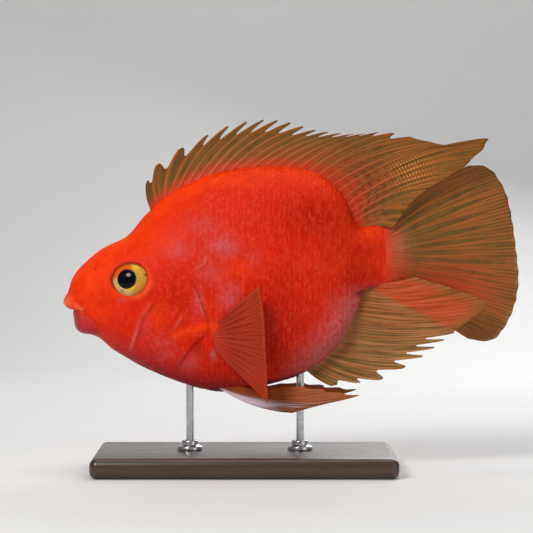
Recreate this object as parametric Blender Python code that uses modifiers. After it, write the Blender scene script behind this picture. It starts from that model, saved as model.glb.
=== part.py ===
"""A blood parrot cichlid at life size, in a level swimming pose, on a plain stand.

The head points to -X, the fish's left side to -Y, and +Z is up. The origin is at
the centre of the stand's underside. Sizes below are in millimetres; the meshes
are built in metres.
"""

import math

import bmesh
import bpy
from mathutils import Matrix, Vector
from mathutils.bvhtree import BVHTree

MM = 0.001
GAP = 0.3
WELD = 0.01

# The body in side view, from the notch of the mouth over the back to the middle
# of the tail root, and from the same notch under the belly to the same end
BACK = [
    (-67.4, 62.9), (-69.4, 64.1), (-71.2, 66.5), (-69.3, 70.6), (-67.9, 75.0), (-65.0, 79.4),
    (-56.1, 87.0), (-46.3, 92.0), (-39.2, 100.1), (-29.4, 108.7), (-11.8, 116.7),
    (11.8, 119.3), (28.8, 116.4), (38.6, 107.6), (44.6, 96.2), (54.6, 96.0), (57.8, 84.2),
]
BELLY = [
    (-67.4, 62.9), (-67.1, 59.6), (-66.5, 55.9), (-63.6, 53.6), (-52.6, 48.3),
    (-39.2, 40.3), (-21.6, 33.4), (-7.0, 30.9), (7.8, 33.4), (24.7, 39.3),
    (37.3, 50.1), (44.0, 63.2), (47.4, 71.2), (54.2, 73.0), (57.8, 84.2),
]
# The widest line along each flank: x, half width, z
FLANK = [
    (-57.6, 9.2, 65.4), (-45.0, 12.8, 66.4), (-33.0, 15.8, 66.2), (-21.0, 17.9, 66.4),
    (-9.0, 19.0, 67.6), (3.0, 18.9, 69.9), (15.0, 17.6, 73.4), (26.0, 15.0, 77.2),
    (35.0, 11.4, 80.6), (42.0, 7.8, 82.8), (48.0, 5.4, 83.9), (52.2, 4.9, 84.2),
]
BODY_STATIONS = 44
BODY_RINGS = 7
END_CROWDING = 0.4
BACK_SHARPNESS = 1.2
BELLY_SHARPNESS = 1.0
END_SHARPNESS = 1.0

# The tail turns a little towards the far side, from this x on
TURN_START = 15.0
TURN_RATE = 0.0016

# Seams between the parts of the body, in side view
JAW_SEAM = [(-76.0, 63.1), (-67.4, 62.8), (-62.2, 62.5), (-60.2, 58.6), (-58.0, 54.0), (-55.5, 44.0)]
NECK_SEAM = [(-39.0, 116.0), (-31.0, 95.0), (-24.0, 80.0), (-19.5, 66.0), (-21.0, 52.0), (-29.0, 40.0),
             (-37.0, 28.0)]
TAIL_SEAM = [(44.6, 108.0), (47.6, 84.0), (49.0, 60.0)]
SEAM_REACH = 40.0

# The gill cover's outline in side view, and its plate
GILL_COVER = [
    (-33.5, 74.2), (-27.0, 79.4), (-21.4, 78.6), (-18.6, 72.4), (-16.2, 64.0), (-15.6, 56.0),
    (-18.6, 49.4), (-25.0, 45.4), (-33.0, 43.6), (-40.0, 44.6), (-42.6, 49.6), (-40.8, 57.0), (-37.6, 66.0),
]
GILL_POINTS = 30
GILL_RAISE = 0.5
GILL_THICK = 2.2
GILL_NEAREST_Y = 4.0

# Mouth, nostrils and eyes
UPPER_LIP_Z = 65.4
LOWER_LIP_Z = 61.2
LIP_ORIGIN_X = -60.5
UPPER_LIP_RADIUS = 1.5
LOWER_LIP_RADIUS = 1.25
LIP_SPREAD = 96.0
LIP_POINTS = 11
LIP_SINK = 0.55
LIP_THINNING = 0.45
EYE_X = -45.1
EYE_Z = 74.8
EYE_RADIUS = 7.1
EYE_DEPTH = 3.9
EYE_SINK = 1.7
EYE_RIM_RADIUS = 7.4
EYE_RIM_THICK = 0.9
EYE_RIM_SINK = 0.5
EYE_SEGMENTS = 20
NOSTRIL = (-58.4, 79.3)
NOSTRIL_RADIUS = 0.75
NOSTRIL_DEPTH = 1.3
NOSTRIL_RIM = 0.35
NOSTRIL_SEGMENTS = 10

# Fins. Each key ray gives its number, where it leaves the body and where it ends.
# The rays between follow a smooth curve through these.
DORSAL_SPINES = 17
DORSAL_KEYS = [
    (0, -37.3, 103.0, -38.8, 112.6), (1, -34.5, 105.2, -35.1, 119.3), (2, -31.2, 107.6, -26.3, 125.7),
    (3, -28.6, 109.2, -15.9, 131.0), (4, -25.5, 111.0, -7.5, 134.8), (6, -18.0, 114.3, 6.7, 137.5),
    (8, -9.0, 117.3, 17.3, 136.5), (10, -0.4, 118.8, 27.1, 133.6), (13, 12.5, 119.3, 42.0, 132.0),
    (16, 25.5, 117.3, 57.3, 132.4), (19, 34.6, 112.0, 80.4, 127.6), (21, 39.0, 107.0, 95.3, 130.1),
    (23, 41.9, 102.0, 86.5, 119.6), (25, 43.8, 98.2, 67.0, 108.2), (26, 44.4, 96.8, 56.1, 101.6),
]
ANAL_SPINES = 7
ANAL_KEYS = [
    (0, 24.3, 39.1, 33.7, 33.2), (1, 27.1, 40.8, 43.5, 34.4), (2, 29.4, 42.5, 52.5, 35.5),
    (3, 31.8, 44.6, 61.6, 40.1), (4, 34.1, 46.6, 69.0, 44.6), (6, 38.2, 51.4, 77.6, 51.2),
    (9, 42.2, 59.4, 88.2, 59.3), (11, 44.2, 63.8, 94.9, 65.5), (12, 45.1, 66.0, 89.8, 67.9),
    (14, 46.8, 70.0, 65.5, 70.1),
]
CAUDAL_KEYS = [
    (0, 54.0, 95.6, 88.2, 119.7), (1, 54.9, 94.4, 94.1, 119.7), (2, 55.4, 92.8, 98.8, 116.7),
    (4, 56.3, 89.8, 104.1, 106.9), (8, 57.2, 84.0, 108.0, 83.8), (10, 56.8, 81.0, 108.6, 72.0),
    (12, 56.0, 78.0, 105.9, 61.0), (14, 54.9, 75.4, 100.0, 51.8), (15, 54.2, 74.2, 94.9, 50.1),
    (16, 53.4, 73.2, 88.2, 51.2),
]
PECTORAL_KEYS = [
    (0, -12.2, 57.5, 5.5, 73.2), (3, -11.8, 55.2, 7.3, 62.2), (6, -11.2, 52.4, 8.0, 50.5),
    (9, -10.6, 49.7, 8.6, 38.7), (12, -10.2, 46.9, 9.0, 28.5),
]
PELVIC_KEYS = [
    (0, -9.8, 32.6, 18.4, 23.4), (1, -8.2, 32.8, 43.9, 30.4), (2, -6.7, 33.0, 37.3, 31.6),
    (3, -5.1, 33.2, 30.2, 32.8), (4, -3.5, 33.4, 22.4, 33.8), (5, -1.6, 33.6, 13.7, 33.6),
]
MEMBRANE_HALF = 0.26
TIP_HALF = 0.2
TIP_SHARE = 0.2
RAY_TAPER = 0.7
BRANCH_START = 0.45
FLESHY_SHARE = 0.22
SOFT_NOTCH = 0.03
SUNK = 2.6
FIN_ROWS = 5
# Columns of a fin between one spine and the next, and how much of the notch's depth
# is cut there: the membrane is highest close behind each spine
SPINE_COLUMNS = {0.0: 0.0, 0.3: 0.3, 0.78: 1.0}
# Half thickness of a ray at its root, bow of a ray, depth of the notches between
# spines at the fin's front and rear, and the fin's own way of leaving the middle plane
DORSAL = {"crest": 0.55, "bow": 0.07, "front_notch": 0.38, "rear_notch": 0.15, "lean": 1.6}
ANAL = {"crest": 0.5, "bow": -0.05, "front_notch": 0.3, "rear_notch": 0.24, "swing": 0.13}
CAUDAL = {"crest": 0.6, "flesh": 1.0, "notch": 0.01}
PECTORAL = {"crest": 0.5, "flesh": 0.9, "lift": 0.4, "spread": 0.42, "cup": 1.2, "rows": 4}
PELVIC = {"crest": 0.8, "flesh": 0.9, "bow": -0.07, "notch": 0.07, "root_y": 6.6, "spread": 0.2, "tuck": 1.4}

# Stand
BASE_LENGTH = 118.0
BASE_WIDTH = 74.0
BASE_HEIGHT = 8.0
BASE_CORNER = 3.0
ROD_XS = {"front": -21.6, "rear": 21.6}
ROD_RADIUS = 1.5
ROD_SIDES = 20
ROD_SOCKET_DEPTH = 5.0
ROD_TOP = 60.0
COLLAR_RADIUS = 5.0
COLLAR_HEIGHT = 3.6
COLLAR_RIM = 1.4
COLLAR_STEPS = 20

FISH = "blood_parrot_cichlid"
ORANGE_RED = (0.80, 0.075, 0.015)
FACE_ORANGE = (0.92, 0.13, 0.02)
FIN_AMBER = (0.55, 0.16, 0.05)
PALE_LILAC = (0.48, 0.26, 0.22)
IRIS_GOLD = (0.80, 0.42, 0.03)
DARK_WOOD = (0.028, 0.014, 0.008)
STEEL = (0.55, 0.55, 0.56)


def collection(name):
    """A new collection linked to the scene."""
    made = bpy.data.collections.new(name)
    bpy.context.scene.collection.children.link(made)
    return made


def material(name, colour, roughness, metallic=0.0):
    """A plain Principled material."""
    made = bpy.data.materials.new(name)
    made.use_nodes = True
    shader = made.node_tree.nodes["Principled BSDF"]
    shader.inputs["Base Color"].default_value = (*colour, 1.0)
    shader.inputs["Roughness"].default_value = roughness
    shader.inputs["Metallic"].default_value = metallic
    return made


def blend(table, at):
    """The row of values at `at` on a smooth curve through the table's rows."""
    last = len(table) - 1
    index = 0
    while index < last - 1 and at > table[index + 1][0]:
        index += 1
    start, end = table[index], table[index + 1]
    span = end[0] - start[0]
    t = min(max((at - start[0]) / span, 0.0), 1.0)
    before = table[max(index - 1, 0)]
    after = table[min(index + 2, last)]
    values = []
    for a, b, c, d in zip(before[1:], start[1:], end[1:], after[1:]):
        rise = (c - a) / (end[0] - before[0]) * span
        fall = (d - b) / (after[0] - start[0]) * span
        values.append(
            (2 * t**3 - 3 * t**2 + 1) * b + (t**3 - 2 * t**2 + t) * rise
            + (3 * t**2 - 2 * t**3) * c + (t**3 - t**2) * fall
        )
    return values


def measured(points):
    """The points with the share of the length so far in front of each."""
    table = [(0.0, *points[0])]
    for before, here in zip(points, points[1:]):
        table.append((table[-1][0] + math.dist(before, here), *here))
    return [(row[0] / table[-1][0], *row[1:]) for row in table]


def turn(x):
    """How far the tail's turn moves the body's middle plane at x."""
    return TURN_RATE * max(x - TURN_START, 0.0) ** 2


def finish(bm, name):
    """Weld the mesh, turn its faces outward and make it an object."""
    bmesh.ops.remove_doubles(bm, verts=bm.verts, dist=WELD * MM)
    bmesh.ops.recalc_face_normals(bm, faces=bm.faces)
    mesh = bpy.data.meshes.new(name)
    bm.to_mesh(mesh)
    bm.free()
    made = bpy.data.objects.new(name, mesh)
    CUTTERS.objects.link(made)
    made.display_type = "WIRE"
    made.hide_render = True
    return made


def whole_body(name, grow=0.0):
    """The body from mouth to tail root, each side swelling from the outline."""
    back, belly = measured(BACK), measured(BELLY)
    bm = bmesh.new()
    for outline, sharpness in ((back, BACK_SHARPNESS), (belly, BELLY_SHARPNESS)):
        grids = {-1: [], 1: []}
        for station in range(BODY_STATIONS + 1):
            share = station / BODY_STATIONS
            along = share - END_CROWDING * math.sin(2 * math.pi * share) / (2 * math.pi)
            edge_x, edge_z = blend(outline, along)
            flank_x = FLANK[0][0] + (FLANK[-1][0] - FLANK[0][0]) * along
            half, flank_z = blend(FLANK, flank_x)
            ridge_power = END_SHARPNESS + (sharpness - END_SHARPNESS) * math.sin(math.pi * along)
            for side, grid in grids.items():
                row = []
                for ring in range(BODY_RINGS + 1):
                    angle = 0.5 * math.pi * ring / BODY_RINGS
                    x = flank_x + (edge_x - flank_x) * math.sin(angle)
                    z = flank_z + (edge_z - flank_z) * math.sin(angle)
                    swell = half * math.cos(angle) ** ridge_power if ring < BODY_RINGS else 0.0
                    row.append(bm.verts.new(Vector((x, side * swell + turn(x), z)) * MM))
                grid.append(row)
        for grid in grids.values():
            for here, beyond in zip(grid, grid[1:]):
                for ring in range(BODY_RINGS):
                    corners = (here[ring], here[ring + 1], beyond[ring + 1], beyond[ring])
                    bm.faces.new(corners)
    bmesh.ops.remove_doubles(bm, verts=bm.verts, dist=WELD * MM)
    bmesh.ops.recalc_face_normals(bm, faces=bm.faces)
    bm.normal_update()
    moves = [vert.normal * grow * MM for vert in bm.verts]
    for vert, move in zip(bm.verts, moves):
        vert.co += move
    bmesh.ops.triangulate(bm, faces=bm.faces)
    return finish(bm, name)


def bake(obj):
    """Replace an object's mesh by what its modifiers make of it."""
    graph = bpy.context.evaluated_depsgraph_get()
    mesh = bpy.data.meshes.new_from_object(obj.evaluated_get(graph))
    obj.modifiers.clear()
    old = obj.data
    obj.data = mesh
    bpy.data.meshes.remove(old)


def combine(target, other, operation):
    """Apply one Boolean to the target and keep the other object.

    The exact solver leaves open edges along the gill pockets.
    """
    modifier = target.modifiers.new(operation.lower(), "BOOLEAN")
    modifier.object = other
    modifier.operation = operation
    modifier.solver = "MANIFOLD"
    bake(target)


def islands(bm):
    """The mesh's closed surfaces, as lists of faces."""
    left = set(bm.faces)
    found = []
    while left:
        seed = left.pop()
        group, front = [seed], [seed]
        while front:
            face = front.pop()
            for edge in face.edges:
                for other in edge.link_faces:
                    if other in left:
                        left.remove(other)
                        group.append(other)
                        front.append(other)
        found.append(group)
    return found


def signed_volume(faces):
    """The volume that a group of faces closes in."""
    total = 0.0
    for face in faces:
        corners = [vert.co for vert in face.verts]
        for second, third in zip(corners[1:], corners[2:]):
            total += corners[0].dot(second.cross(third)) / 6.0
    return total


def largest_pieces(obj, count):
    """The object's largest closed surfaces, each as a new object, from front to rear."""
    bm = bmesh.new()
    bm.from_mesh(obj.data)
    groups = sorted(islands(bm), key=signed_volume, reverse=True)[:count]
    groups.sort(key=lambda group: max(vert.co.x for face in group for vert in face.verts))
    pieces = []
    for group in groups:
        piece = bmesh.new()
        copies = {}
        for face in group:
            corners = []
            for vert in face.verts:
                if vert not in copies:
                    copies[vert] = piece.verts.new(vert.co)
                corners.append(copies[vert])
            piece.faces.new(corners)
        mesh = bpy.data.meshes.new(obj.name)
        piece.to_mesh(mesh)
        piece.free()
        made = bpy.data.objects.new(obj.name + "_piece", mesh)
        CUTTERS.objects.link(made)
        pieces.append(made)
    bm.free()
    return pieces


def drop(*objects):
    """Remove objects that have done their work."""
    for obj in objects:
        bpy.data.objects.remove(obj, do_unlink=True)


def keep(obj, name, look, smooth=40.0):
    """Name a finished part, give it its material and put it with the parts."""
    whole = largest_pieces(obj, 1)[0]
    drop(obj)
    whole.name = name
    whole.data.name = name
    whole.data.materials.append(look)
    whole.data.shade_smooth()
    whole.data.set_sharp_from_angle(angle=math.radians(smooth))
    CUTTERS.objects.unlink(whole)
    PARTS.objects.link(whole)
    return whole


def copy_of(obj):
    """A second object with its own mesh."""
    made = obj.copy()
    made.data = obj.data.copy()
    CUTTERS.objects.link(made)
    return made


def seam(name, points):
    """A thin wall along a seam, across the whole body."""
    bm = bmesh.new()
    near = [bm.verts.new(Vector((x, -SEAM_REACH, z)) * MM) for x, z in points]
    far = [bm.verts.new(Vector((x, SEAM_REACH, z)) * MM) for x, z in points]
    for index in range(len(points) - 1):
        bm.faces.new((near[index], near[index + 1], far[index + 1], far[index]))
    made = finish(bm, name)
    wall = made.modifiers.new("wall", "SOLIDIFY")
    wall.thickness = GAP * MM
    wall.offset = 0.0
    wall.use_even_offset = True
    bake(made)
    return made


def closed_curve(points, count):
    """Points evenly spaced round a smooth closed curve."""
    lead = 3
    looped = points[-lead:] + points + points[:lead]
    table = [(0.0, *looped[0])]
    for before, here in zip(looped, looped[1:]):
        table.append((table[-1][0] + math.dist(before, here), *here))
    start, end = table[lead][0], table[lead + len(points)][0]
    return [blend(table, start + (end - start) * step / count) for step in range(count)]


def prism(name, points, grow, near, far):
    """A closed outline in side view, grown and drawn out from y = near to far."""
    count = len(points)
    grown = []
    for index, (x, z) in enumerate(points):
        before, after = points[index - 1], points[(index + 1) % count]
        away = Vector((after[1] - before[1], before[0] - after[0])).normalized()
        grown.append((x - away.x * grow, z - away.y * grow))
    bm = bmesh.new()
    face = bm.faces.new([bm.verts.new(Vector((x, near, z)) * MM) for x, z in grown])
    drawn = bmesh.ops.extrude_face_region(bm, geom=[face])["geom"]
    moved = [item for item in drawn if isinstance(item, bmesh.types.BMVert)]
    bmesh.ops.translate(bm, verts=moved, vec=Vector((0.0, (far - near) * MM, 0.0)))
    return finish(bm, name)


def surface(tree, x, z, side):
    """The point and outward direction of the body's flank at x, z."""
    start = Vector((x, side * 2 * SEAM_REACH, z)) * MM
    place, normal, _, _ = tree.ray_cast(start, Vector((0.0, -side, 0.0)))
    return place, normal


def lip(name, tree, z, radius):
    """A rounded roll round the front of the mouth at height z."""
    data = bpy.data.curves.new(name, "CURVE")
    data.dimensions = "3D"
    data.bevel_depth = radius * MM
    data.bevel_resolution = 1
    data.use_fill_caps = True
    path = data.splines.new("POLY")
    path.points.add(LIP_POINTS - 1)
    start = Vector((LIP_ORIGIN_X, 0.0, z)) * MM
    for index, point in enumerate(path.points):
        share = 2 * index / (LIP_POINTS - 1) - 1
        angle = math.radians(LIP_SPREAD) * share
        heading = Vector((-math.cos(angle), math.sin(angle), 0.0))
        place = tree.ray_cast(start, heading)[0]
        point.co = (*(place - heading * LIP_SINK * radius * MM), 1.0)
        point.radius = 1.0 - LIP_THINNING * share**2
    roll = bpy.data.objects.new(name, data)
    CUTTERS.objects.link(roll)
    graph = bpy.context.evaluated_depsgraph_get()
    bm = bmesh.new()
    bm.from_mesh(bpy.data.meshes.new_from_object(roll.evaluated_get(graph)))
    drop(roll)
    return finish(bm, name)


def facing(normal):
    """The rotation that turns +Z to the given direction."""
    return normal.to_track_quat("Z", "Y").to_matrix().to_4x4()


def ring(name, place, normal, radius, thick, segments):
    """A ring lying on the skin."""
    bpy.ops.mesh.primitive_torus_add(
        major_radius=radius * MM, minor_radius=thick * MM, major_segments=segments, minor_segments=6
    )
    made = bpy.context.object
    made.data.transform(facing(normal))
    made.data.transform(Matrix.Translation(place))
    return adopt(made, name)


def adopt(made, name):
    """Take a primitive out of the scene's own collection."""
    made.name = name
    for holder in list(made.users_collection):
        holder.objects.unlink(made)
    CUTTERS.objects.link(made)
    return made


def ellipsoid(name, place, normal, radius, depth, grow=0.0, segments=EYE_SEGMENTS):
    """A flattened ball with its short axis along the given direction."""
    bm = bmesh.new()
    bmesh.ops.create_uvsphere(bm, u_segments=segments, v_segments=segments // 2, radius=1.0)
    for vert in bm.verts:
        vert.co.x *= (radius + grow) * MM
        vert.co.y *= (radius + grow) * MM
        vert.co.z *= (depth + grow) * MM
    bmesh.ops.transform(bm, matrix=facing(normal), verts=bm.verts)
    bmesh.ops.translate(bm, verts=bm.verts, vec=place)
    return finish(bm, name)


def fin(name, keys, columns, reach_of, side, form, branched=False):
    """A fin with its rays as ridges raised in both faces of one thin sheet.

    columns lists ray numbers, whole ones on a ray and the others on the membrane
    between. reach_of gives how far along its ray a column ends, and side the
    sideways place of a point.
    """
    rows = form.get("rows", FIN_ROWS)
    faces = {-1: [], 1: []}
    bm = bmesh.new()
    for column in columns:
        root_x, root_z, tip_x, tip_z = blend(keys, column)
        root, tip = Vector((root_x, root_z)), Vector((tip_x, tip_z))
        length = (tip - root).length
        across = Vector((-(tip - root).y, (tip - root).x)).normalized()
        reach = reach_of(column)
        shares = [-SUNK / length] + [reach * row / rows for row in range(rows + 1)]
        strips = {-1: [], 1: []}
        for share in shares:
            out = max(share, 0.0)
            bow = 4 * out * (1 - out) * form.get("bow", 0.0) * length
            place = root + (tip - root) * share + across * bow
            half = ridge(column, out, form["crest"], branched)
            half += form.get("flesh", 0.0) * max(1.0 - out / FLESHY_SHARE, 0.0) ** 2
            middle = side(out, place.x, root_x)
            for face in strips:
                strips[face].append(bm.verts.new(Vector((place.x, middle + face * half, place.y)) * MM))
        for face in faces:
            faces[face].append(strips[face])
    close_sheet(bm, faces[-1], faces[1])
    return finish(bm, name)


def ridge(column, share, crest, branched):
    """Half thickness of a fin at a ray number and a share of the ray's length."""
    offset = abs(column - round(column))
    thin = MEMBRANE_HALF
    if branched and share > BRANCH_START:
        on_ray = 1.0 - abs(offset - 0.25) / 0.25
    else:
        on_ray = max(1.0 - offset / 0.25, 0.0)
    top = thin + (crest - thin) * (1.0 - share) ** RAY_TAPER
    end = (share - 1.0 + TIP_SHARE) / TIP_SHARE
    if end > 0:
        thin += (TIP_HALF - thin) * end
    return thin + max(top - thin, 0.0) * on_ray


def close_sheet(bm, near, far):
    """Faces for two like grids and the edge between them, split alike."""
    def quad(a, b, c, d):
        bm.faces.new((a, b, c))
        bm.faces.new((a, c, d))

    columns, rows = len(near), len(near[0])
    for column in range(columns - 1):
        for row in range(rows - 1):
            for sheet in (near, far):
                quad(sheet[column][row], sheet[column][row + 1],
                     sheet[column + 1][row + 1], sheet[column + 1][row])
        for row in (0, rows - 1):
            quad(near[column][row], near[column + 1][row], far[column + 1][row], far[column][row])
    for column in (0, columns - 1):
        for row in range(rows - 1):
            quad(near[column][row], near[column][row + 1], far[column][row + 1], far[column][row])


def fractions(keys, steps):
    """All ray numbers of a fin with the given parts of each step between."""
    last = keys[-1][0]
    numbers = [ray + step for ray in range(last) for step in steps(ray)]
    return numbers + [last]


def rod(name, x, top):
    """A round steel rod standing in its socket in the base."""
    low = BASE_HEIGHT - ROD_SOCKET_DEPTH + GAP
    middle = (x * MM, 0.0, (top + low) / 2 * MM)
    bpy.ops.mesh.primitive_cylinder_add(
        vertices=ROD_SIDES, radius=ROD_RADIUS * MM, depth=(top - low) * MM, location=middle
    )
    made = bpy.context.object
    made.data.transform(made.matrix_world)
    made.matrix_world.identity()
    return adopt(made, name)


def collar(name, x):
    """A turned collar round the foot of a rod."""
    inner, outer = ROD_RADIUS + GAP, COLLAR_RADIUS
    low, high = BASE_HEIGHT + GAP, BASE_HEIGHT + GAP + COLLAR_HEIGHT
    neck = (inner + outer) / 2
    profile = [(inner, high), (neck, high), (neck + 0.4, low + COLLAR_RIM), (outer, low + COLLAR_RIM - 0.4),
               (outer, low), (inner, low)]
    bm = bmesh.new()
    verts = [bm.verts.new(Vector((radius, 0.0, z)) * MM) for radius, z in profile]
    for index, vert in enumerate(verts):
        bm.edges.new((vert, verts[(index + 1) % len(verts)]))
    mesh = bpy.data.meshes.new(name)
    bm.to_mesh(mesh)
    bm.free()
    made = bpy.data.objects.new(name, mesh)
    CUTTERS.objects.link(made)
    screw = made.modifiers.new("turn", "SCREW")
    screw.steps = COLLAR_STEPS
    screw.render_steps = COLLAR_STEPS
    screw.use_merge_vertices = True
    screw.merge_threshold = 0.00001
    bake(made)
    made.data.transform(Matrix.Translation(Vector((x, 0.0, 0.0)) * MM))
    bm = bmesh.new()
    bm.from_mesh(made.data)
    drop(made)
    return finish(bm, name)


def stand(body_clear):
    """A flat base and two rods up to the belly, each in a collar."""
    wood = material("stained_wood", DARK_WOOD, 0.35)
    steel = material("brushed_steel", STEEL, 0.3, 1.0)
    bpy.ops.mesh.primitive_cube_add(size=1.0)
    base = adopt(bpy.context.object, "stand_base")
    base.data.transform(Matrix.Translation(Vector((0.0, 0.0, 0.5))))
    for vert in base.data.vertices:
        vert.co = Vector((vert.co.x * BASE_LENGTH, vert.co.y * BASE_WIDTH, vert.co.z * BASE_HEIGHT)) * MM
    corners = base.modifiers.new("corners", "BEVEL")
    corners.width = BASE_CORNER * MM
    corners.segments = 2
    corners.limit_method = "NONE"
    bake(base)
    for where, x in ROD_XS.items():
        socket = rod("socket", x, ROD_TOP)
        for vert in socket.data.vertices:
            vert.co.x = x * MM + (vert.co.x - x * MM) * (ROD_RADIUS + GAP) / ROD_RADIUS
            vert.co.y *= (ROD_RADIUS + GAP) / ROD_RADIUS
            if vert.co.z < BASE_HEIGHT * MM:
                vert.co.z -= GAP * MM
        combine(base, socket, "DIFFERENCE")
        drop(socket)
        bar = rod("stand_rod", x, ROD_TOP)
        combine(bar, body_clear, "DIFFERENCE")
        keep(bar, "stand_rod_" + where, steel)
        keep(collar("collar", x), "stand_collar_" + where, steel)
    keep(base, "stand_base", wood)


def body_parts(plain, tree):
    """Head, jaw, torso, tail root, gill covers and eyes from the one body."""
    skin = material("red_skin", ORANGE_RED, 0.38)
    face = material("face_skin", FACE_ORANGE, 0.36)
    iris = material("gold_eye", IRIS_GOLD, 0.12)
    body = copy_of(plain)
    extras = [
        lip("upper_lip", tree, UPPER_LIP_Z, UPPER_LIP_RADIUS),
        lip("lower_lip", tree, LOWER_LIP_Z, LOWER_LIP_RADIUS),
    ]
    sides = {"left": -1, "right": 1}
    eyes = {}
    for label, side in sides.items():
        place, normal = surface(tree, EYE_X, EYE_Z, side)
        eyes[label] = (place - normal * EYE_SINK * MM, normal)
        rim_place = place - normal * EYE_RIM_SINK * MM
        extras.append(ring("eye_rim", rim_place, normal, EYE_RIM_RADIUS, EYE_RIM_THICK, EYE_SEGMENTS))
        place, normal = surface(tree, *NOSTRIL, side)
        rim_radius = NOSTRIL_RADIUS + NOSTRIL_RIM
        extras.append(ring("nostril_rim", place, normal, rim_radius, NOSTRIL_RIM, NOSTRIL_SEGMENTS))
    for extra in extras:
        combine(body, extra, "UNION")
        drop(extra)
    for label, side in sides.items():
        place, normal = surface(tree, *NOSTRIL, side)
        pit = ellipsoid("pit", place, normal, NOSTRIL_RADIUS, NOSTRIL_DEPTH, segments=NOSTRIL_SEGMENTS)
        combine(body, pit, "DIFFERENCE")
        drop(pit)
        socket = ellipsoid("socket", *eyes[label], EYE_RADIUS, EYE_DEPTH, GAP)
        combine(body, socket, "DIFFERENCE")
        drop(socket)
        keep(ellipsoid("eye", *eyes[label], EYE_RADIUS, EYE_DEPTH), "eye_" + label, iris)
    outline = closed_curve(GILL_COVER, GILL_POINTS)
    raised = whole_body("raised", GILL_RAISE)
    under = whole_body("under", GILL_RAISE - GILL_THICK)
    floor = whole_body("floor", GILL_RAISE - GILL_THICK - GAP)
    for label, side in sides.items():
        near, far = side * GILL_NEAREST_Y, side * SEAM_REACH
        plate = prism("gill_cover", outline, 0.0, near, far)
        combine(plate, raised, "INTERSECT")
        combine(plate, under, "DIFFERENCE")
        keep(plate, "gill_cover_" + label, skin)
        pocket = prism("pocket", outline, GAP, near - side * GAP, far)
        combine(pocket, floor, "DIFFERENCE")
        combine(body, pocket, "DIFFERENCE")
        drop(pocket)
    drop(raised, under, floor)
    for name, points in (("jaw_seam", JAW_SEAM), ("neck_seam", NECK_SEAM), ("tail_seam", TAIL_SEAM)):
        wall = seam(name, points)
        combine(body, wall, "DIFFERENCE")
        drop(wall)
    pieces = largest_pieces(body, 4)
    drop(body)
    named = (("lower_jaw", face), ("head", face), ("torso", skin), ("tail_base", skin))
    for piece, (name, look) in zip(pieces, named):
        keep(piece, name, look)


def fins(body_clear, tree):
    """The seven fins, each cut to the skin it grows from."""
    amber = material("amber_fin", FIN_AMBER, 0.4)
    pale = material("pale_fin", PALE_LILAC, 0.4)

    def spiny(spines):
        return lambda ray: tuple(SPINE_COLUMNS) if ray < spines else (0.0, 0.5)

    def spiny_reach(form, spines):
        def reach(column):
            if column > spines:
                return 1.0 - (SOFT_NOTCH if column % 1.0 else 0.0)
            depth = form["front_notch"] + (form["rear_notch"] - form["front_notch"]) * column / spines
            return 1.0 - depth * SPINE_COLUMNS[round(column % 1.0, 2)]
        return reach

    def soft_reach(depth):
        return lambda column: 1.0 - (depth if column % 1.0 else 0.0)

    def dorsal_side(out, x, root_x):
        return turn(root_x) - DORSAL["lean"] * out**2

    def anal_side(out, x, root_x):
        return turn(root_x) - ANAL["swing"] * max(x - root_x, 0.0)

    def caudal_side(out, x, root_x):
        return turn(x)

    def caudal_reach(column):
        return 1.0 - (CAUDAL["notch"] if column % 0.5 == 0.0 else 0.0)

    made = {
        "dorsal_fin": fin("dorsal", DORSAL_KEYS, fractions(DORSAL_KEYS, spiny(DORSAL_SPINES)),
                          spiny_reach(DORSAL, DORSAL_SPINES), dorsal_side, DORSAL),
        "anal_fin": fin("anal", ANAL_KEYS, fractions(ANAL_KEYS, spiny(ANAL_SPINES)),
                        spiny_reach(ANAL, ANAL_SPINES), anal_side, ANAL),
        "tail_fin": fin("caudal", CAUDAL_KEYS, fractions(CAUDAL_KEYS, lambda ray: (0.0, 0.25, 0.5, 0.75)),
                        caudal_reach, caudal_side, CAUDAL, branched=True),
    }
    for label, side in (("left", -1), ("right", 1)):
        middle_ray = PECTORAL_KEYS[len(PECTORAL_KEYS) // 2]
        place, _ = surface(tree, middle_ray[1], middle_ray[2], side)
        root_y = abs(place.y) / MM + PECTORAL["lift"]

        def pectoral_side(out, x, root_x, side=side, root_y=root_y):
            return side * (root_y + PECTORAL["spread"] * (x - root_x) + PECTORAL["cup"] * out**2)

        def pelvic_side(out, x, root_x, side=side):
            return side * (PELVIC["root_y"] + PELVIC["spread"] * (x - root_x) - PELVIC["tuck"] * out)

        made["pectoral_fin_" + label] = fin(
            "pectoral", PECTORAL_KEYS, fractions(PECTORAL_KEYS, lambda ray: (0.0, 0.5)),
            soft_reach(0.0), pectoral_side, PECTORAL,
        )
        made["pelvic_fin_" + label] = fin(
            "pelvic", PELVIC_KEYS, fractions(PELVIC_KEYS, lambda ray: (0.0, 0.33, 0.67)),
            soft_reach(PELVIC["notch"]), pelvic_side, PELVIC,
        )
    for name, sheet in made.items():
        combine(sheet, body_clear, "DIFFERENCE")
        keep(sheet, name, pale if name.startswith("pelvic") else amber)


for scene_object in list(bpy.data.objects):
    bpy.data.objects.remove(scene_object, do_unlink=True)
PARTS = collection(FISH)
CUTTERS = collection("cutters")
plain_body = whole_body("plain_body")
clear_body = whole_body("clear_body", GAP)
body_bm = bmesh.new()
body_bm.from_mesh(plain_body.data)
flank_tree = BVHTree.FromBMesh(body_bm)
body_bm.free()
body_parts(plain_body, flank_tree)
fins(clear_body, flank_tree)
stand(clear_body)
drop(plain_body, clear_body)
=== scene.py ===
"""A blood parrot cichlid's skin, scales, fins and eyes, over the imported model.

The head points to -X, the fish's left side to -Y, and +Z is up. Sizes and places
below are in millimetres; the meshes are in metres.
"""

import math

import bmesh
import bpy
import numpy as np
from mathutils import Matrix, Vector
from mathutils.bvhtree import BVHTree


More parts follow.
